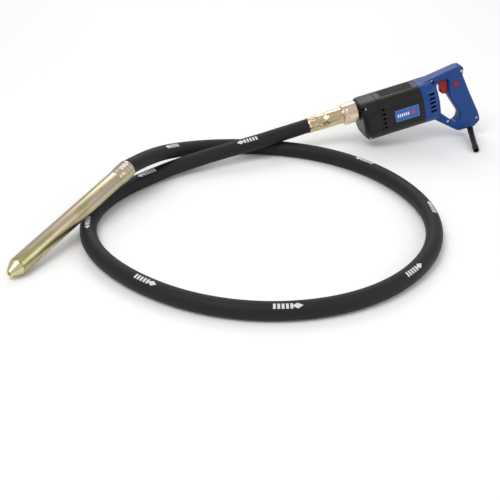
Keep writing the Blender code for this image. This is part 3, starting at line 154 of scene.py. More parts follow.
class Signal:
    """A value in a shader's tree. Operators on it add Math nodes."""

    def __init__(self, finish, socket):
        self.finish, self.socket = finish, socket

    def math(self, operation, *values):
        return self.finish.node("ShaderNodeMath", {"operation": operation}, dict(enumerate(values)))

    def __add__(self, other):
        return self.math("ADD", self, other)

    def __sub__(self, other):
        return self.math("SUBTRACT", self, other)

    def __rsub__(self, other):
        return self.math("SUBTRACT", other, self)

    def __mul__(self, other):
        return self.math("MULTIPLY", self, other)

    def __truediv__(self, other):
        return self.math("DIVIDE", self, other)

    __radd__, __rmul__ = __add__, __mul__

    def sine(self):
        return self.math("SINE", self)

    def cosine(self):
        return self.math("COSINE", self)

    def angle_from(self, side):
        """The angle whose sine goes as this value and whose cosine goes as the other."""
        return self.math("ARCTAN2", self, side)

    def size(self):
        return self.math("ABSOLUTE", self)

    def fraction(self):
        return self.math("FRACT", self)

    def below(self, edge, soft=0.0):
        """1 where the value is below the edge, 0 above it, with a soft step between."""
        soft = max(soft, 1e-6)
        ends = {"Value": self, "From Min": edge - soft, "From Max": edge + soft}
        ends |= {"To Min": 1.0, "To Max": 0.0}
        return self.finish.node("ShaderNodeMapRange", {"interpolation_type": "SMOOTHSTEP"}, ends)

    def between(self, low, high, soft=0.0):
        return self.below(high, soft) * (1 - self.below(low, soft))


def opaque(value):
    """A colour of three numbers with its fourth, and anything else unchanged."""
    return (*value, 1.0) if isinstance(value, tuple) and len(value) == 3 else value


class Finish:
    """A material with one Principled shader, and the means to drive it."""

    def __init__(self, name, **constants):
        self.material = bpy.data.materials.new(name)
        self.material.use_nodes = True
        self.tree = self.material.node_tree
        self.shader = self.tree.nodes["Principled BSDF"]
        self.drive(**constants)

    def node(self, kind, settings=None, inputs=None, output=0):
        """Adds a node, sets it up, fills its sockets with numbers or signals, and returns one of its
        outputs."""
        made = self.tree.nodes.new(kind)
        for name, value in (settings or {}).items():
            if name == "stops":
                ramp = made.color_ramp.elements
                while len(ramp) < len(value):
                    ramp.new(1.0)
                for stop, (place, colour) in zip(ramp, value):
                    stop.position, stop.color = place, (*colour, 1.0)
            else:
                setattr(made, name, value)
        for name, value in (inputs or {}).items():
            if isinstance(value, Signal):
                self.tree.links.new(value.socket, made.inputs[name])
            else:
                made.inputs[name].default_value = value
        return Signal(self, made.outputs[output])

    def drive(self, **sockets):
        """Sets or links the shader's sockets; Base_Color stands for Base Color."""
        for name, value in sockets.items():
            socket = self.shader.inputs[name.replace("_", " ")]
            if isinstance(value, Signal):
                self.tree.links.new(value.socket, socket)
            else:
                socket.default_value = opaque(value)

    def dot(self, vector, axis):
        values = {0: vector, 1: tuple(axis)}
        return self.node("ShaderNodeVectorMath", {"operation": "DOT_PRODUCT"}, values, "Value")

    def coordinates(self, line=None):
        """Object coordinates, or those along, across and up from a line."""
        place = self.node("ShaderNodeTexCoord", output="Object")
        if line is None:
            return place
        turned = [
            self.dot(place, axis) - float(line.at @ axis)
            for axis in line.axes
        ]
        return self.node("ShaderNodeCombineXYZ", None, dict(enumerate(turned)))

    def parts(self, vector):
        """The three numbers of a vector."""
        split = self.node("ShaderNodeSeparateXYZ", None, {0: vector}).socket.node
        return [Signal(self, socket) for socket in split.outputs]

    def noise(self, vector, scale, detail=4.0, roughness=0.55, stretch=None):
        if stretch:
            vector = self.node("ShaderNodeMapping", None, {"Vector": vector, "Scale": stretch})
        values = {"Vector": vector, "Scale": scale, "Detail": detail, "Roughness": roughness}
        return self.node("ShaderNodeTexNoise", None, values)

    def mix(self, share, first, second):
        """first where share is 0, second where it is 1."""
        values = {"Factor": share, 6: opaque(first), 7: opaque(second)}
        return self.node("ShaderNodeMix", {"data_type": "RGBA"}, values, 2)

    def bump(self, height, strength, distance=0.001):
        values = {"Height": height, "Strength": strength, "Distance": distance}
        self.drive(Normal=self.node("ShaderNodeBump", None, values))


floor_finish = Finish("studio_floor", Base_Color=(0.90, 0.90, 0.90), Roughness=0.9)
floor_mesh.materials.append(floor_finish.material)
print("floor finish", floor_finish.material.name)

# %% [markdown]
# ## Surfaces from arrays
# Almost every round piece is a profile carried round a line, so one function makes the grid of points and
# another puts a grid in a mesh. Corners of a profile are eased first, because no turned edge is truly sharp
# and the thin bright line along it is what makes metal look like metal.

# %% Mesh helpers


def piece_of(name, points, closed=False, crease=40.0):
    """Makes a mesh of a grid of points: rows of them joined to their neighbours, each row closed on itself,
    and the last row joined to the first if closed. Points that coincide, as at a pole, are merged."""
    rows, columns = points.shape[:2]
    index = np.arange(rows * columns).reshape(rows, columns)
    index = np.hstack([index, index[:, :1]])
    if closed:
        index = np.vstack([index, index[:1]])
    quads = np.stack([index[:-1, :-1], index[:-1, 1:], index[1:, 1:], index[1:, :-1]], axis=-1)
    mesh = bpy.data.meshes.new(name)
    mesh.from_pydata(points.reshape(-1, 3).tolist(), [], quads.reshape(-1, 4).tolist())
    return finished(name, mesh, crease)


def finished(name, mesh, crease):
    """Merges doubles, turns the faces outwards, shades smooth up to the crease angle and links the
    object."""
    shape = bmesh.new()
    shape.from_mesh(mesh)
    bmesh.ops.remove_doubles(shape, verts=shape.verts, dist=1e-7)
    bmesh.ops.recalc_face_normals(shape, faces=shape.faces)
    shape.to_mesh(mesh)
    shape.free()
    mesh.shade_smooth()
    mesh.set_sharp_from_angle(angle=math.radians(crease))
    thing = bpy.data.objects.new(name, mesh)
    bpy.context.scene.collection.objects.link(thing)
    return thing


def eased(profile, radius=0.0004, steps=3, closed=True):
    """Rounds the corners of a profile: each corner becomes a short curve, the quadratic one whose ends
    stand a radius back along both sides and whose middle control is the corner itself."""
    corner = np.asarray(profile, float)
    back, ahead = np.roll(corner, 1, 0) - corner, np.roll(corner, -1, 0) - corner
    reach = [np.linalg.norm(side, axis=1, keepdims=True) for side in (back, ahead)]
    ends = [corner + side / far * np.minimum(radius, far * 0.45) for side, far in zip((back, ahead), reach)]
    if not closed:
        for end in ends:
            end[0], end[-1] = corner[0], corner[-1]
    t = np.linspace(0, 1, steps + 1)[None, :, None]
    curve = (1 - t) ** 2 * ends[0][:, None] + 2 * t * (1 - t) * corner[:, None] + t**2 * ends[1][:, None]
    return curve.reshape(-1, 2)


def turned(name, line, profile, sides=96, closed=True, ease=0.0004, wave=None, crease=40.0):
    """Carries a profile of (along, radius) round a line: across is radius times the cosine of the angle and
    up is radius times its sine. wave, if given, changes the radius as a function of (along, angle)."""
    outline = eased(profile, ease, closed=closed) if ease else np.asarray(profile, float)
    angle = np.linspace(0, math.tau, sides, endpoint=False)[None, :]
    along, radius = outline[:, :1] + 0 * angle, outline[:, 1:] + 0 * angle
    if wave:
        radius = radius + wave(along, angle, radius)
    points = np.stack([along, radius * np.cos(angle), radius * np.sin(angle)], axis=-1)
    return piece_of(name, line.place(points), closed=closed, crease=crease)


def settle(thing, body, finish, slot, *nodes):
    """Gives a piece its finish and its body, and hides the solids it stands for."""
    thing.data.materials.clear()
    thing.data.materials.append(finish.material)
    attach(thing, body)
    if nodes:
        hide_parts(*nodes)
    return thing


print("helpers ready")

# %% [markdown]
# ## The hose
# The hose is about two and a half metres of thick rubber over plies of cord. It is too stiff to bend
# tightly, so it leaves the ferrule straight, drops over its own far end, runs round in one big loop on the
# floor and climbs again to the poker. Its route is a Catmull-Rom curve through points chosen on the floor
# plan. The tube is worked out from that curve, and the distance along it is kept with each point, so that
# printed marks can follow it.

# %% The hose's route
HOSE_RADIUS = 0.0150
HOSE_ROUTE = np.array([
    (0.0948, 0.1901, 0.0492), (0.0722, 0.1823, 0.0474), (0.0460, 0.1728, 0.0458),
    (0.0136, 0.1632, 0.0421), (-0.0232, 0.1548, 0.0378), (-0.0662, 0.1466, 0.0326),
    (-0.1226, 0.1350, 0.0256), (-0.1776, 0.1174, 0.0195), (-0.2287, 0.0901, 0.0161),
    (-0.2755, 0.0558, 0.0153), (-0.3158, 0.0142, 0.0152), (-0.3469, -0.0347, 0.0152),
    (-0.3650, -0.0898, 0.0152), (-0.3674, -0.1476, 0.0152), (-0.3559, -0.2044, 0.0152),
    (-0.3331, -0.2578, 0.0152), (-0.3023, -0.3070, 0.0152), (-0.2646, -0.3511, 0.0152),
    (-0.2204, -0.3887, 0.0152), (-0.1701, -0.4176, 0.0152), (-0.1152, -0.4364, 0.0152),
    (-0.0578, -0.4440, 0.0152), (0.0001, -0.4402, 0.0152), (0.0559, -0.4246, 0.0152),
    (0.1073, -0.3977, 0.0152), (0.1526, -0.3614, 0.0152), (0.1905, -0.3175, 0.0152),
    (0.2191, -0.2671, 0.0152), (0.2379, -0.2122, 0.0152), (0.2460, -0.1547, 0.0152),
    (0.2433, -0.0968, 0.0152), (0.2317, -0.0399, 0.0152), (0.2116, 0.0145, 0.0152),
    (0.1827, 0.0649, 0.0152), (0.1461, 0.1098, 0.0152), (0.1019, 0.1474, 0.0152),
    (0.0517, 0.1764, 0.0152), (-0.0025, 0.1973, 0.0154), (-0.0596, 0.2063, 0.0176),
    (-0.1152, 0.1932, 0.0250), (-0.1610, 0.1603, 0.0378), (-0.1992, 0.1189, 0.0520),
    (-0.2251, 0.0858, 0.0610), (-0.2462, 0.0585, 0.0668), (-0.2636, 0.0368, 0.0696),
])
FERRULE_MOUTH, POKER_REAR, INSERT, LEAD = -0.1110, 0.3400, 0.0200, 0.0050
hose_first = spindle.place([[FERRULE_MOUTH + INSERT, 0, 0], [FERRULE_MOUTH - LEAD, 0, 0]])
hose_last = poker.place([[POKER_REAR + LEAD, 0, 0], [POKER_REAR - INSERT, 0, 0]])


def smooth_route(points, count):
    """Catmull-Rom: between two points the curve is the cubic whose slope at each is half the line between
    its neighbours. It runs from the second point to the last but one, resampled to equal steps."""
    a, b, c, d = (points[i : len(points) - 3 + i, None] for i in range(4))
    t = np.linspace(0, 1, 40, endpoint=False)[None, :, None]
    bend, twist = 2 * a - 5 * b + 4 * c - d, 3 * b - a - 3 * c + d
    fine = 0.5 * (2 * b + (c - a) * t + bend * t**2 + twist * t**3)
    fine = np.vstack([fine.reshape(-1, 3), points[-2:-1]])
    far = np.concatenate([[0], np.cumsum(np.linalg.norm(np.diff(fine, axis=0), axis=1))])
    at = np.linspace(0, far[-1], count)
    return np.stack([np.interp(at, far, fine[:, k]) for k in range(3)], axis=1)


RINGS, EASINGS = 420, 12
path = smooth_route(np.vstack([hose_first, HOSE_ROUTE, hose_last]), RINGS)
for _ in range(EASINGS):
    path[1:-1] = 0.5 * path[1:-1] + 0.25 * (path[:-2] + path[2:])
path = np.vstack([hose_first[:1], path, hose_last[1:]])

# %% The hose's tube


def carried(name, path, stations, radii, beside=(0.0, 0.0, 1.0), closed=False, sides=40):
    """A round tube along a path: at each station, the index of a point of the path, a ring of that radius
    stands square to the path. Its first direction is square to both the path and the side given, so that it
    doesn't twist. The attribute named run holds the distance along, and how far over and how far beside the
    path a point is."""
    along = np.gradient(path, axis=0)
    along /= np.linalg.norm(along, axis=1, keepdims=True)
    level = np.cross(along, beside)
    level /= np.linalg.norm(level, axis=1, keepdims=True)
    over = np.cross(level, along)
    angle = np.linspace(0, math.tau, sides, endpoint=False)
    rings = level[:, None] * np.cos(angle)[None, :, None] + over[:, None] * np.sin(angle)[None, :, None]
    points = path[stations][:, None] + rings[stations] * np.reshape(radii, (-1, 1, 1))
    thing = piece_of(name, points, closed=closed)
    far = np.concatenate([[0], np.cumsum(np.linalg.norm(np.diff(path, axis=0), axis=1))])
    place = np.empty(len(thing.data.vertices) * 3)
    thing.data.vertices.foreach_get("co", place)
    place = place.reshape(-1, 3)
    nearest = np.argmin(((place[:, None] - path[None]) ** 2).sum(axis=2), axis=1)
    offset = place - path[nearest]
    shares = [(offset * axis[nearest]).sum(1) for axis in (along, over, level)]
    shares[0] += far[nearest]
    marks = thing.data.attributes.new("run", "FLOAT_VECTOR", "POINT")
    marks.data.foreach_set("vector", np.stack(shares, axis=1).ravel())
    return thing


stations = np.arange(len(path))
hose = carried("rubber_hose", path, stations[[0, *stations, -1]], [0, *[HOSE_RADIUS] * len(path), 0])
print("hose has", len(hose.data.polygons), "faces")

# %% [markdown]
# Hose rubber is a matte charcoal with a fine cloth-wrap texture, because such a hose is cured in a wound
# bandage. White marks are printed on it at even steps: five plain bars and an arrow head. The same run
# attribute carries both, so they follow every bend.

# %% Hose rubber
WRAP_PITCH = 0.0021
MARK_STEP, MARK_START = 0.2350, 0.0950
BAR_PITCH, BARS_FROM, BARS_TO, BAR_HALF = 0.0064, 0.0064, 0.0384, 0.048
ARROW_AT, ARROW_HALF, ARROW_SLOPE = 0.0440, 0.0085, 0.16
MARK_SIDE, MARK_SWAY, SWAY_LENGTH = 0.250, 0.085, 2.45
rubber = Finish("hose_rubber", Specular_IOR_Level=0.30)
run = rubber.node("ShaderNodeAttribute", {"attribute_name": "run"}, output="Vector")
distance, over, beside = rubber.parts(run)
share = over.angle_from(beside) / math.tau
mottle = rubber.noise(rubber.coordinates(), 38.0, 5.0)
grain = rubber.noise(rubber.coordinates(), 900.0, 2.0)
wrap = (distance * (math.tau / WRAP_PITCH) + share * math.tau).sine()
dull = rubber.mix(mottle, (0.0036, 0.0046, 0.0050), (0.0105, 0.0128, 0.0138))
step = ((distance + MARK_START) / MARK_STEP).fraction() * MARK_STEP
sway = (distance * (math.tau / SWAY_LENGTH)).cosine() * MARK_SWAY
aside = (share - MARK_SIDE - sway).size()
bars = (step / BAR_PITCH).fraction().between(0.14, 0.78, 0.05) * step.between(BARS_FROM, BARS_TO)
bars = bars * aside.below(BAR_HALF, 0.003)
arrow = (aside * ARROW_SLOPE + (step - ARROW_AT).size()).below(ARROW_HALF, 0.0004)
worn = (bars + arrow) * (mottle * 1.6 - 0.1).below(1.05, 0.2)
rubber.drive(Base_Color=rubber.mix(worn, dull, (0.62, 0.63, 0.63)), Roughness=0.52 + mottle * 0.18)
rubber.bump(wrap * 0.10 + grain * 0.5 + mottle * 0.4, 0.22, 0.0006)
settle(hose, "power_unit", rubber, "rubber", "hose")
tuple(float(v) for v in spindle.place([FERRULE_MOUTH, 0, 0]))
print("rubber made")

# %% [markdown]
# ## The poker
# The head is a steel tube with a screwed-in nose and a tail that grips the hose. All three are turned
# parts, so each is a profile carried round the poker's line. The nose is a blunt cone with a centre hole,
# left from turning. The tail has three rolled grooves.

# %% Poker pieces
NOSE, RADIUS, BORE, PLUG = 0.0205, 0.0160, 0.0135, 0.0132
TUBE_END, TAIL, RIM, GROOVE = 0.2977, 0.2980, 0.0172, 0.0164
HOSE_SOCKET, CORE_BORE = 0.0157, 0.0100
nose_profile = [(0.0080, 0), (0.0062, 0.0024), (0, 0.0029), (0, 0.0064), (0.0193, 0.0157), (NOSE, 0.0153)]
nose_profile += [(NOSE, PLUG), (NOSE + 0.014, PLUG), (NOSE + 0.014, 0)]
nose = turned("steel_nose", poker, nose_profile, 128, closed=False, ease=0.0005)
tube_profile = [(NOSE + 0.0003, BORE), (NOSE + 0.0003, RADIUS), (TUBE_END, RADIUS), (TUBE_END, BORE)]
tube = turned("steel_tube", poker, tube_profile, 128)
tail_profile = [(TAIL - 0.015, PLUG), (TAIL, PLUG), (TAIL, RADIUS), (TAIL + 0.011, 0.0163)]
for groove in TAIL + 0.0145 + 0.0075 * np.arange(3):
    tail_profile += [(groove, RIM), (groove + 0.001, GROOVE), (groove + 0.003, GROOVE), (groove + 0.004, RIM)]
tail_profile += [(0.3385, RIM), (POKER_REAR, RADIUS), (POKER_REAR, HOSE_SOCKET)]
tail_profile += [(0.3180, HOSE_SOCKET), (0.3180, CORE_BORE), (0.2830, CORE_BORE)]
tail = turned("grooved_tail", poker, tail_profile, 128, ease=0.0006)
for thing in (nose, tube, tail):
    print(thing.name, len(thing.data.polygons), "faces")

# %% [markdown]
# Such a head is zinc plated and passivated yellow. The film is thin enough to show interference colours, so
# the steel looks olive in one place and mauve in the next, in long streaks down the tube. A noise stretched
# along the poker, a cloudy one and the place of a point choose between the colours. How far a point lies to
# one side of the poker's line also shifts the colour. This paints one long side of the tube paler and the
# other more mauve, a painted highlight and painted shade laid over the film's own colours. The nose is a
# plainer yellow.

# %% Yellow passivated steel
olive = Finish("olive_steel", Metallic=1.0)
where = olive.coordinates(poker)
along, side, _ = olive.parts(where)
streak = olive.noise(where, 60.0, 3.0, 0.5, (0.10, 1.0, 1.0))
fine = olive.noise(where, 420.0, 3.0, 0.6, (0.05, 1.0, 1.0))
cloud = olive.noise(where, 26.0, 4.0, 0.6)
# Painted light: the side term makes one long side of the tube paler and the other a darker mauve.
film_and_painted_side_light = streak * 1.10 + cloud * 0.55 + side * 14.0 + (along - 0.17) * 0.80 - 0.19
tone = olive.node(
    "ShaderNodeValToRGB",
    {
        "stops": [
            (0.16, (0.680, 0.590, 0.480)),
            (0.32, (0.420, 0.390, 0.200)),
            (0.46, (0.440, 0.405, 0.205)),
            (0.58, (0.560, 0.470, 0.330)),
            (0.72, (0.560, 0.455, 0.385)),
            (0.92, (0.430, 0.385, 0.290)),
        ]
    },
    {"Fac": film_and_painted_side_light},
)
bright = olive.mix(along.below(NOSE, 0.0006), tone, (0.620, 0.590, 0.340))
scuff = olive.noise(where, 900.0, 4.0, 0.7, (0.25, 1.0, 1.0)).below(0.36, 0.03)
olive.drive(
    Base_Color=olive.mix(scuff * 0.35, bright, (0.62, 0.58, 0.47)),
    Roughness=0.22 + cloud * 0.14 + fine * 0.10,
)
olive.bump(fine * 0.7 + cloud * 0.3, 0.12, 0.0005)
for thing, node in ((nose, "poker_nose"), (tube, "poker_tube"), (tail, "poker_tail")):
    settle(thing, "power_unit", olive, "olive_steel", node)
print("poker finished")

# %% [markdown]
# ## The ferrule and its union nut
# The ferrule is a steel sleeve pressed on the hose in a crimping machine, whose eight jaws leave two rows
# of long dimples. A profile carried round the line has its radius lowered inside each dimple. The nut that
# holds the ferrule to the motor has small notches for a hook spanner round its rear rim.

# %% Ferrule with crimps


def refined(outline, spacing):
    """Adds points on a closed outline's straight stretches, so that none is longer than the spacing."""
    loop = np.vstack([outline, outline[:1]])
    far = np.concatenate([[0], np.cumsum(np.linalg.norm(np.diff(loop, axis=0), axis=1))])
    at = np.unique(np.concatenate([far, np.arange(0, far[-1], spacing)]).round(7))[:-1]
    return np.stack([np.interp(at, far, loop[:, k]) for k in range(2)], axis=1)


JAWS, CRIMP_LENGTH, CRIMP_WIDTH, CRIMP_DEPTH = 8, 0.0086, 0.36, 0.0019
CRIMP_ROWS = ((-0.1000, 0.0), (-0.0790, 0.5))
ROLLED_LINES, LINE_WIDTH, LINE_DEPTH = (-0.0895, -0.0675), 0.0011, 0.00035
FERRULE_SKIN = 0.0163


def crimp(along, angle, radius):
    """Dimples: minus the depth times exp(-(u^2 + v^2)^2), where u runs along and v round, in dimple sizes.
    The second row is half a pitch round from the first. A shallow rolled line follows each row."""
    depth = 0 * along
    for middle, shift in CRIMP_ROWS:
        turn = (angle / math.tau * JAWS + shift) % 1 - 0.5
        u, v = (along - middle) / CRIMP_LENGTH, turn / CRIMP_WIDTH
        depth = depth + CRIMP_DEPTH * np.exp(-((u**2 + v**2) ** 2))
    for ring in ROLLED_LINES:
        depth = depth + LINE_DEPTH * np.exp(-(((along - ring) / LINE_WIDTH) ** 2))
    return np.where(radius > FERRULE_SKIN, -depth, 0)


ferrule_outline = [(FERRULE_MOUTH, 0.0161), (-0.1085, 0.0168), (-0.0810, 0.0170), (-0.0307, 0.0170)]
ferrule_outline += [(-0.0307, 0.0190), (-0.0250, 0.0190), (-0.0250, CORE_BORE), (-0.0890, CORE_BORE)]
ferrule_outline += [(-0.0890, HOSE_SOCKET), (FERRULE_MOUTH, HOSE_SOCKET)]
ferrule_profile = refined(eased(ferrule_outline, 0.0003), 0.0009)
ferrule = turned("crimped_ferrule", spindle, ferrule_profile, 176, ease=0, wave=crimp)
print("ferrule", len(ferrule.data.polygons), "faces")

# %% Union nut


NOTCHES, NOTCH_HALF, NOTCH_FROM, NOTCH_FLOOR = 8, 0.0017, -0.0072, 0.0198
NUT_MIDDLE, NUT_SKIN = 0.0215, 0.0205


def spanner_notches(along, angle, radius):
    """Notches in the rim: inside each, the outer radius drops to just above the bore."""
    aside = ((angle / math.tau * NOTCHES) % 1 - 0.5) * math.tau / NOTCHES * NUT_MIDDLE
    inside = (np.abs(aside) < NOTCH_HALF) & (along > NOTCH_FROM) & (radius > NUT_SKIN)
    return np.where(inside, NOTCH_FLOOR - radius, 0)


nut_outline = [(-0.0347, 0.0207), (-0.0335, 0.0224), (-0.0270, 0.0224), (-0.0266, 0.0219), (-0.0258, 0.0219)]
nut_outline += [(-0.0254, 0.0225), (-0.0042, 0.0225), (-0.0030, 0.0213), (-0.0030, 0.0194), (-0.0317, 0.0194)]
nut_outline += [(-0.0317, 0.0174), (-0.0347, 0.0174)]
nut_profile = refined(eased(nut_outline, 0.0004), 0.0009)
nut = turned("union_nut", spindle, nut_profile, 320, ease=0, wave=spanner_notches, crease=30)
print("nut", len(nut.data.polygons), "faces")

# %% Gold zinc
gold = Finish("gold_zinc", Metallic=1.0)
where = gold.coordinates(spindle)
along, _, up = gold.parts(where)
cloud = gold.noise(where, 55.0, 4.0, 0.6)
turning = gold.noise(where, 700.0, 2.0, 0.5, (1.0, 0.04, 0.04))
# Painted shade: the up term makes the underside of the ferrule and the nut darker, over the zinc's own random
# tones.
tone = gold.node(
    "ShaderNodeValToRGB",
    {
        "stops": [
            (0.30, (0.56, 0.44, 0.22)),
            (0.50, (0.66, 0.54, 0.32)),
            (0.68, (0.64, 0.49, 0.36)),
            (0.85, (0.54, 0.46, 0.26)),
        ]
    },
    {"Fac": cloud * 0.8 + up * 6.0 + 0.12},
)
pink = gold.mix((along * -1).below(0.0350, 0.0008) * 0.75, tone, (0.86, 0.68, 0.56))
speck = gold.noise(where, 1300.0, 3.0, 0.7).below(0.31, 0.02)
gold.drive(Base_Color=gold.mix(speck * 0.5, pink, (0.30, 0.24, 0.16)), Roughness=0.17 + cloud * 0.12)
gold.bump(turning * 0.6 + cloud * 0.3, 0.10, 0.0005)
settle(ferrule, "power_unit", gold, "zinc_gold", "hose_ferrule")
settle(nut, "coupling", gold, "zinc_gold", "coupling_collar")
print("coupling finished")

# %% [markdown]
# ## The housings
# The gear cap, the casing and the two handle shells are mouldings. Their solids already have the right
# shape, with vents, posts and pockets, so a copy of each is merged and its edges are broken by a small
# bevel, as a moulded edge is. Weighted normals keep the flats flat beside their round corners.

# %% Dress a solid


def dressed(name, node, body, finish, slot, edge=0.0005, crease=32):
    """Copies a solid's mesh, merges its loose triangles and rounds its edges."""
    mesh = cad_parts[node].data.copy()
    shape = bmesh.new()
    shape.from_mesh(mesh)
    bmesh.ops.remove_doubles(shape, verts=shape.verts, dist=2e-6)
    bmesh.ops.dissolve_limit(shape, angle_limit=math.radians(0.6), verts=shape.verts, edges=shape.edges)
    bmesh.ops.recalc_face_normals(shape, faces=shape.faces)
    plain = bpy.data.meshes.new(name)
    shape.to_mesh(plain)
    shape.free()
    bpy.data.meshes.remove(mesh)
    plain.shade_smooth()
    plain.set_sharp_from_angle(angle=math.radians(crease))
    thing = bpy.data.objects.new(name, plain)
    bpy.context.scene.collection.objects.link(thing)
    if edge:
        bevel = thing.modifiers.new("edge", "BEVEL")
        bevel.width, bevel.segments = edge, 2
        bevel.limit_method, bevel.angle_limit = "ANGLE", math.radians(crease + 3)
        bevel.use_clamp_overlap = False
        bevel.harden_normals = True
    thing.modifiers.new("flats", "WEIGHTED_NORMAL").keep_sharp = True
    return settle(thing, body, finish, slot, node)


print("dressing ready")

# %% [markdown]
# Moulded plastic takes the grain that was eroded into its mould, a fine even bump with a soft sheen.
# Handling leaves it fine scratches. A dark patch beside the upper screw is painted shade. It stands in for
# the shaded recess that lies there on the real casing, which is not modelled.

# %% Plastics


def moulded(name, dark, light, rough, grain=0.16):
    """A moulded plastic: two close tones in soft patches, eroded grain, and fine handling scratches.
    Returns the finish, its coordinates and its colour, so that more can be laid over it."""
    made = Finish(name, Specular_IOR_Level=0.32)
    where = made.coordinates(motor)
    patch = made.noise(where, 30.0, 4.0, 0.6)
    texture = made.noise(where, 1150.0, 3.0, 0.55)
    scratch = made.noise(where, 210.0, 5.0, 0.7, (0.12, 1.0, 1.0)).below(0.33, 0.02)
    made.drive(Roughness=rough + patch * 0.12 - scratch * 0.10)
    made.bump(texture * 0.8 - scratch * 0.5, grain, 0.0005)
    rubbed = tuple(min(1.0, 0.03 + 1.7 * tone) for tone in light)
    colour = made.mix(scratch * 0.25, made.mix(patch, dark, light), rubbed)
    made.drive(Base_Color=colour)
    return made, where, colour


soot, ash = (0.0026, 0.0024, 0.0024), (0.0075, 0.0068, 0.0066)
black, where, black_colour = moulded("black_plastic", soot, ash, 0.32)
blue, *_ = moulded("blue_plastic", (0.0030, 0.0370, 0.1750), (0.0052, 0.0520, 0.2350), 0.33)
red, *_ = moulded("red_plastic", (0.2500, 0.0030, 0.0055), (0.3900, 0.0070, 0.0100), 0.30, 0.08)
along, side, up = black.parts(where)
# Painted shade: a near-black patch where an unmodelled recess beside the upper screw would lie in shade.
painted_recess_shade = along.between(0.0400, 0.0520, 0.0003) * side.between(-0.0420, -0.0240, 0.0003)
painted_recess_shade = painted_recess_shade * up.between(0.0325, 0.0500, 0.0003)
black.drive(Base_Color=black.mix(painted_recess_shade, black_colour, (0.0015, 0.0015, 0.0015)))
for name, node, finish, slot in (
    ("gear_cap", "front_cap", black, "black_plastic"),
    ("ribbed_casing", "motor_casing", black, "black_plastic"),
    ("handle_left", "left_shell", blue, "blue_plastic"),
    ("handle_right", "right_shell", blue, "blue_plastic"),
):
    thing = dressed(name, node, "power_unit", finish, slot)
    print(thing.name, len(thing.data.polygons), "faces")
dressed("finger_trigger", "trigger", "trigger", red, "red_plastic", 0.0004, 40)

# %% [markdown]
# ## Small parts
# The plate on each side carries printed bars and a red diamond. The screws are pan heads with a cross
# recess: a grid in polar form, whose height drops inside the cross. The lock button has a raised rim.

# %% Side plates
PRINT_LEVEL, BARS_LEFT, BARS_RIGHT, PLATE_PITCH, DIAMOND_AT = 0.0010, 0.0720, 0.0996, 0.0046, 0.1080
plate_blue = Finish("printed_plate", Coat_Weight=0.35, Coat_Roughness=0.12)
where = plate_blue.coordinates(motor)
along, _, up = plate_blue.parts(where)
level = (up - PRINT_LEVEL).size()
bars = ((along - BARS_LEFT) / PLATE_PITCH).fraction().between(0.12, 0.74, 0.05)
bars = bars * along.between(BARS_LEFT, BARS_RIGHT) * level.below(0.0033, 0.0002)
diamond = ((along - DIAMOND_AT).size() + level).below(0.0047, 0.0002)
fleck = plate_blue.noise(where, 500.0, 3.0)
field = plate_blue.mix(fleck, (0.0080, 0.0750, 0.3500), (0.0120, 0.0950, 0.4300))
border = 1 - along.between(0.0690, 0.1206, 0.0002) * up.between(-0.0111, 0.0131, 0.0002)
printed = plate_blue.mix(bars, field, (0.80, 0.80, 0.80))
printed = plate_blue.mix(diamond, printed, (0.60, 0.012, 0.03))
printed = plate_blue.mix(border * 0.6, printed, (0.25, 0.40, 0.66))
plate_blue.drive(Base_Color=printed, Roughness=0.28 + fleck * 0.10)
plate_blue.bump(fleck, 0.05, 0.0003)
for side_name in ("left", "right"):
    dressed(f"{side_name}_plate", f"{side_name}_label_plate", "power_unit", plate_blue, "label", 0.0002)
print("plates printed")

# %% Screws


def screw(name, line, head, radius, length):
    """A pan head whose top is low at the rim by the square of the distance out, with a cross pressed in its
    middle, and a plain shank. The cross is where either of two turned distances is under a bar's half
    width."""
    thick, rings = head * 0.7, 26
    out = np.concatenate([np.linspace(0, head * 0.97, rings), [head, head, radius, radius, radius * 0.4, 0]])
    rim = [-thick * 0.5, 0, 0, length - radius, length, length]
    x = np.concatenate([-thick * (1 - 0.42 * np.linspace(0, 1, rings) ** 2), rim])
    angle = np.linspace(0, math.tau, 72, endpoint=False)[None, :]
    x, out = x[:, None] + 0 * angle, out[:, None] + 0 * angle
    across, over = out * np.cos(angle), out * np.sin(angle)
    thin, wide = np.minimum(np.abs(across), np.abs(over)), np.maximum(np.abs(across), np.abs(over))
    narrow = np.clip((head * 0.13 - thin) / (head * 0.06), 0, 1)
    near = np.clip((head * 0.62 - wide) / (head * 0.12), 0, 1)
    top = np.arange(len(x))[:, None] < rings
    x = x + np.where(top, narrow * near * thick * 0.55, 0)
    return piece_of(name, line.place(np.stack([x, across, over], axis=-1)), crease=38)


steel = Finish("screw_steel", Metallic=1.0)
where = steel.coordinates()
cloud, fine = steel.noise(where, 90.0, 4.0), steel.noise(where, 1600.0, 3.0)
steel.drive(Base_Color=steel.mix(cloud, (0.50, 0.50, 0.51), (0.72, 0.72, 0.71)), Roughness=0.22 + fine * 0.16)
steel.bump(fine, 0.08, 0.0003)
CAP_SCREW_ALONG, CAP_SCREW_ACROSS, CAP_SCREW_UP = 0.0107, 0.0315, 0.0325
SHELL_START, SHELL_SCREW_ACROSS = 0.1336, -0.0123
SHELL_SCREWS = {
    "front": (0.033, 0.0415),
    "rear": (0.101, 0.044),
    "lower": (0.057, -0.061),
    "grip": (0.123, -0.0735),
}


def across_line(along, across, up):
    """A line that starts at a place on the motor and runs across it."""
    line = Line(motor.place((along, across, up)), 0, MOTOR_TILT)
    line.axes = motor.axes[[1, 0, 2]]
    return line


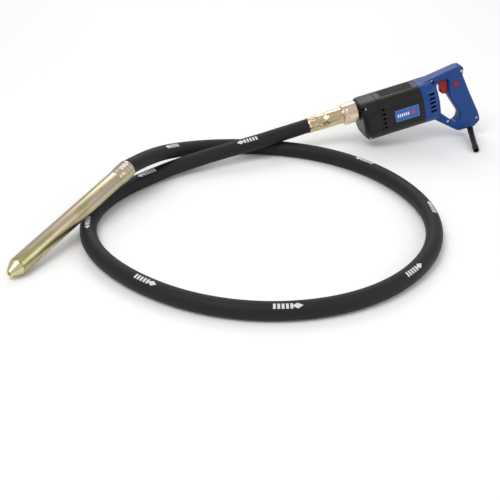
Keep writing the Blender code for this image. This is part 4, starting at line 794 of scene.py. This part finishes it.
for place in ("upper_left", "upper_right", "lower_left", "lower_right"):
    across = (-1 if "left" in place else 1) * CAP_SCREW_ACROSS
    up = (1 if "upper" in place else -1) * CAP_SCREW_UP
    line = Line(motor.place((CAP_SCREW_ALONG, across, up)), 0, MOTOR_TILT)
    bolt = screw(f"cap_bolt_{place}", line, 0.0038, 0.0020, 0.045)
    settle(bolt, "power_unit", steel, "steel", f"cap_screw_{place}")
for place, (x, z) in SHELL_SCREWS.items():
    line = across_line(SHELL_START + x, SHELL_SCREW_ACROSS, z)
    bolt = screw(f"shell_bolt_{place}", line, 0.0034, 0.0018, 0.0200)
    settle(bolt, "power_unit", steel, "steel", f"handle_screw_{place}")
print("eight screws")

# %% Lock button
button_profile = [(-0.0160, 0), (-0.0160, 0.0036), (-0.0165, 0.0042), (-0.0165, 0.0051), (-0.0157, 0.0062)]
button_profile += [(-0.0125, 0.0062), (-0.0125, 0.0042), (-0.0107, 0.0042), (-0.0107, 0)]
button_line = across_line(0.2196, 0, 0.0205)
button = turned("lock_disc", button_line, button_profile, 72, closed=False, ease=0.0003)
settle(button, "lock_button", red, "red_plastic", "lock_button")

# %% [markdown]
# The cable would leave through a rubber sleeve that keeps it from bending sharply at the handle. The sleeve
# follows a cubic curve down, forward and to the left. Rings round it let it bend, and a lip ends it. No
# cable is fitted.

# %% Cable sleeve
foot = np.array([0.2436, 0.0, -0.0900])
bend, end = foot + (0, 0, -0.0045), foot + (-0.0300, -0.1000, -0.0121)
knee, drag = bend + (0.0010, -0.0020, -0.0130), end + (0.0170, 0.0600, 0.0040)
t = np.linspace(0, 1, 130)[:, None]
curve = (1 - t) ** 3 * bend + 3 * (1 - t) ** 2 * t * knee + 3 * (1 - t) * t**2 * drag + t**3 * end
straight = foot + np.linspace([0, 0, 0.009], [0, 0, -0.0045], 12, endpoint=False)
sleeve_path = motor.place(np.vstack([straight, curve]))
share = np.linspace(0, 1, len(sleeve_path))
SLEEVE_RADIUS, SLEEVE_BORE, RIB_DEPTH, RIB_COUNT = 0.0068, 0.0042, 0.00045, 27
stops, widths = [0, 0.15, 0.5, 0.87, 0.92, 0.98, 1.0], np.array([1, 1, 0.90, 0.82, 0.95, 0.95, 0.80])
outer = np.interp(share, stops, widths * SLEEVE_RADIUS)
ribbed = (share > 0.17) & (share < 0.62)
outer = outer - np.where(ribbed, RIB_DEPTH * (1 - np.cos(share * math.tau * RIB_COUNT)) / 2, 0)
print("sleeve reaches", sleeve_path[-1].round(3))

# %% Sleeve surface and rubber
there = np.arange(len(sleeve_path))
sleeve = carried(
    "cable_boot",
    sleeve_path,
    np.concatenate([there, there[::-1]]),
    np.concatenate([outer, np.full(len(there), SLEEVE_BORE)]),
    beside=(1.0, 0.0, 0.0),
    closed=True,
)
boot = Finish("boot_rubber", Specular_IOR_Level=0.35)
where = boot.coordinates()
dust = boot.noise(where, 60.0, 5.0)
dusty = boot.mix(dust, (0.006, 0.006, 0.006), (0.017, 0.016, 0.016))
boot.drive(Base_Color=dusty, Roughness=0.48 + dust * 0.15)
boot.bump(boot.noise(where, 1400.0, 3.0), 0.15, 0.0004)
settle(sleeve, "power_unit", boot, "rubber", "cable_sleeve")
print("sleeve", len(sleeve.data.polygons), "faces")

# %% [markdown]
# ## Inside the power unit
# The working parts keep their own solids, which show when the object is opened or cut. Each gets the finish
# of its own stuff: stacked iron stampings, enamelled copper wire, commutator bars, ground steel, brass and
# carbon.

# %% Inner finishes


def ground(name, dark, light, rough, scale=90.0, stretch=None, metal=1.0, strength=0.08):
    """Metal or carbon with soft tonal patches and fine tool marks, which stretch turns into lines."""
    made = Finish(name, Metallic=metal)
    where = made.coordinates(motor)
    patch = made.noise(where, scale, 4.0, 0.6)
    marks = made.noise(where, 1500.0, 3.0, 0.6, stretch)
    made.drive(Base_Color=made.mix(patch * 0.6 + marks * 0.4, dark, light), Roughness=rough + marks * 0.16)
    made.bump(marks, strength, 0.0003)
    return made


inner_steel = ground("ground_steel", (0.40, 0.40, 0.41), (0.62, 0.62, 0.62), 0.24, stretch=(1.0, 0.08, 0.08))
brass = ground("brass", (0.46, 0.30, 0.09), (0.72, 0.52, 0.22), 0.26, stretch=(0.1, 1.0, 1.0))
carbon = ground("brush_carbon", (0.012, 0.012, 0.013), (0.045, 0.045, 0.048), 0.50, metal=0.0, strength=0.2)
seal = ground("seal_rubber", (0.012, 0.007, 0.006), (0.035, 0.020, 0.018), 0.50, metal=0.0, strength=0.2)
stack = Finish("iron_stampings", Metallic=1.0)
where = stack.coordinates(motor)
SHEET = 0.0005
along, *_ = stack.parts(where)
sheet = (along / SHEET).fraction()
varnish = stack.noise(where, 120.0, 4.0)
iron = stack.mix(varnish, (0.12, 0.11, 0.11), (0.34, 0.33, 0.32))
stack.drive(Base_Color=iron, Roughness=0.36 + varnish * 0.2)
stack.bump(sheet.below(0.18, 0.08), 0.35, 0.0002)
wire = Finish("enamelled_wire", Metallic=1.0, Coat_Weight=0.4)
where = wire.coordinates(motor)
along, side, up = wire.parts(where)
around = up.angle_from(side)
strand = (around * 46.0 + along * 900.0).sine()
shade = wire.noise(where, 160.0, 4.0)
wire.drive(Base_Color=wire.mix(shade, (0.36, 0.12, 0.045), (0.68, 0.29, 0.13)), Roughness=0.30 + shade * 0.15)
wire.bump(strand, 0.45, 0.0004)
print("inner finishes made")

# %% Hand out the finishes
finish_of = {"black_plastic": black, "blue_plastic": blue, "red_plastic": red, "label": plate_blue}
finish_of |= {"zinc_gold": gold, "olive_steel": olive, "rubber": boot, "steel": inner_steel}
finish_of |= {"copper": wire, "carbon": carbon, "brass": brass, "lamination": stack, "seal_rubber": seal}
for name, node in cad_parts.items():
    slot_name = node.data.materials[0].name.split(".")[0]
    node.material_slots[0].material = finish_of[slot_name].material
print("finishes given to", len(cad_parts), "nodes")

# %% Measure the frame
for box in (cad_box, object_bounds()):
    print([[round(v, 4) for v in corner] for corner in box])
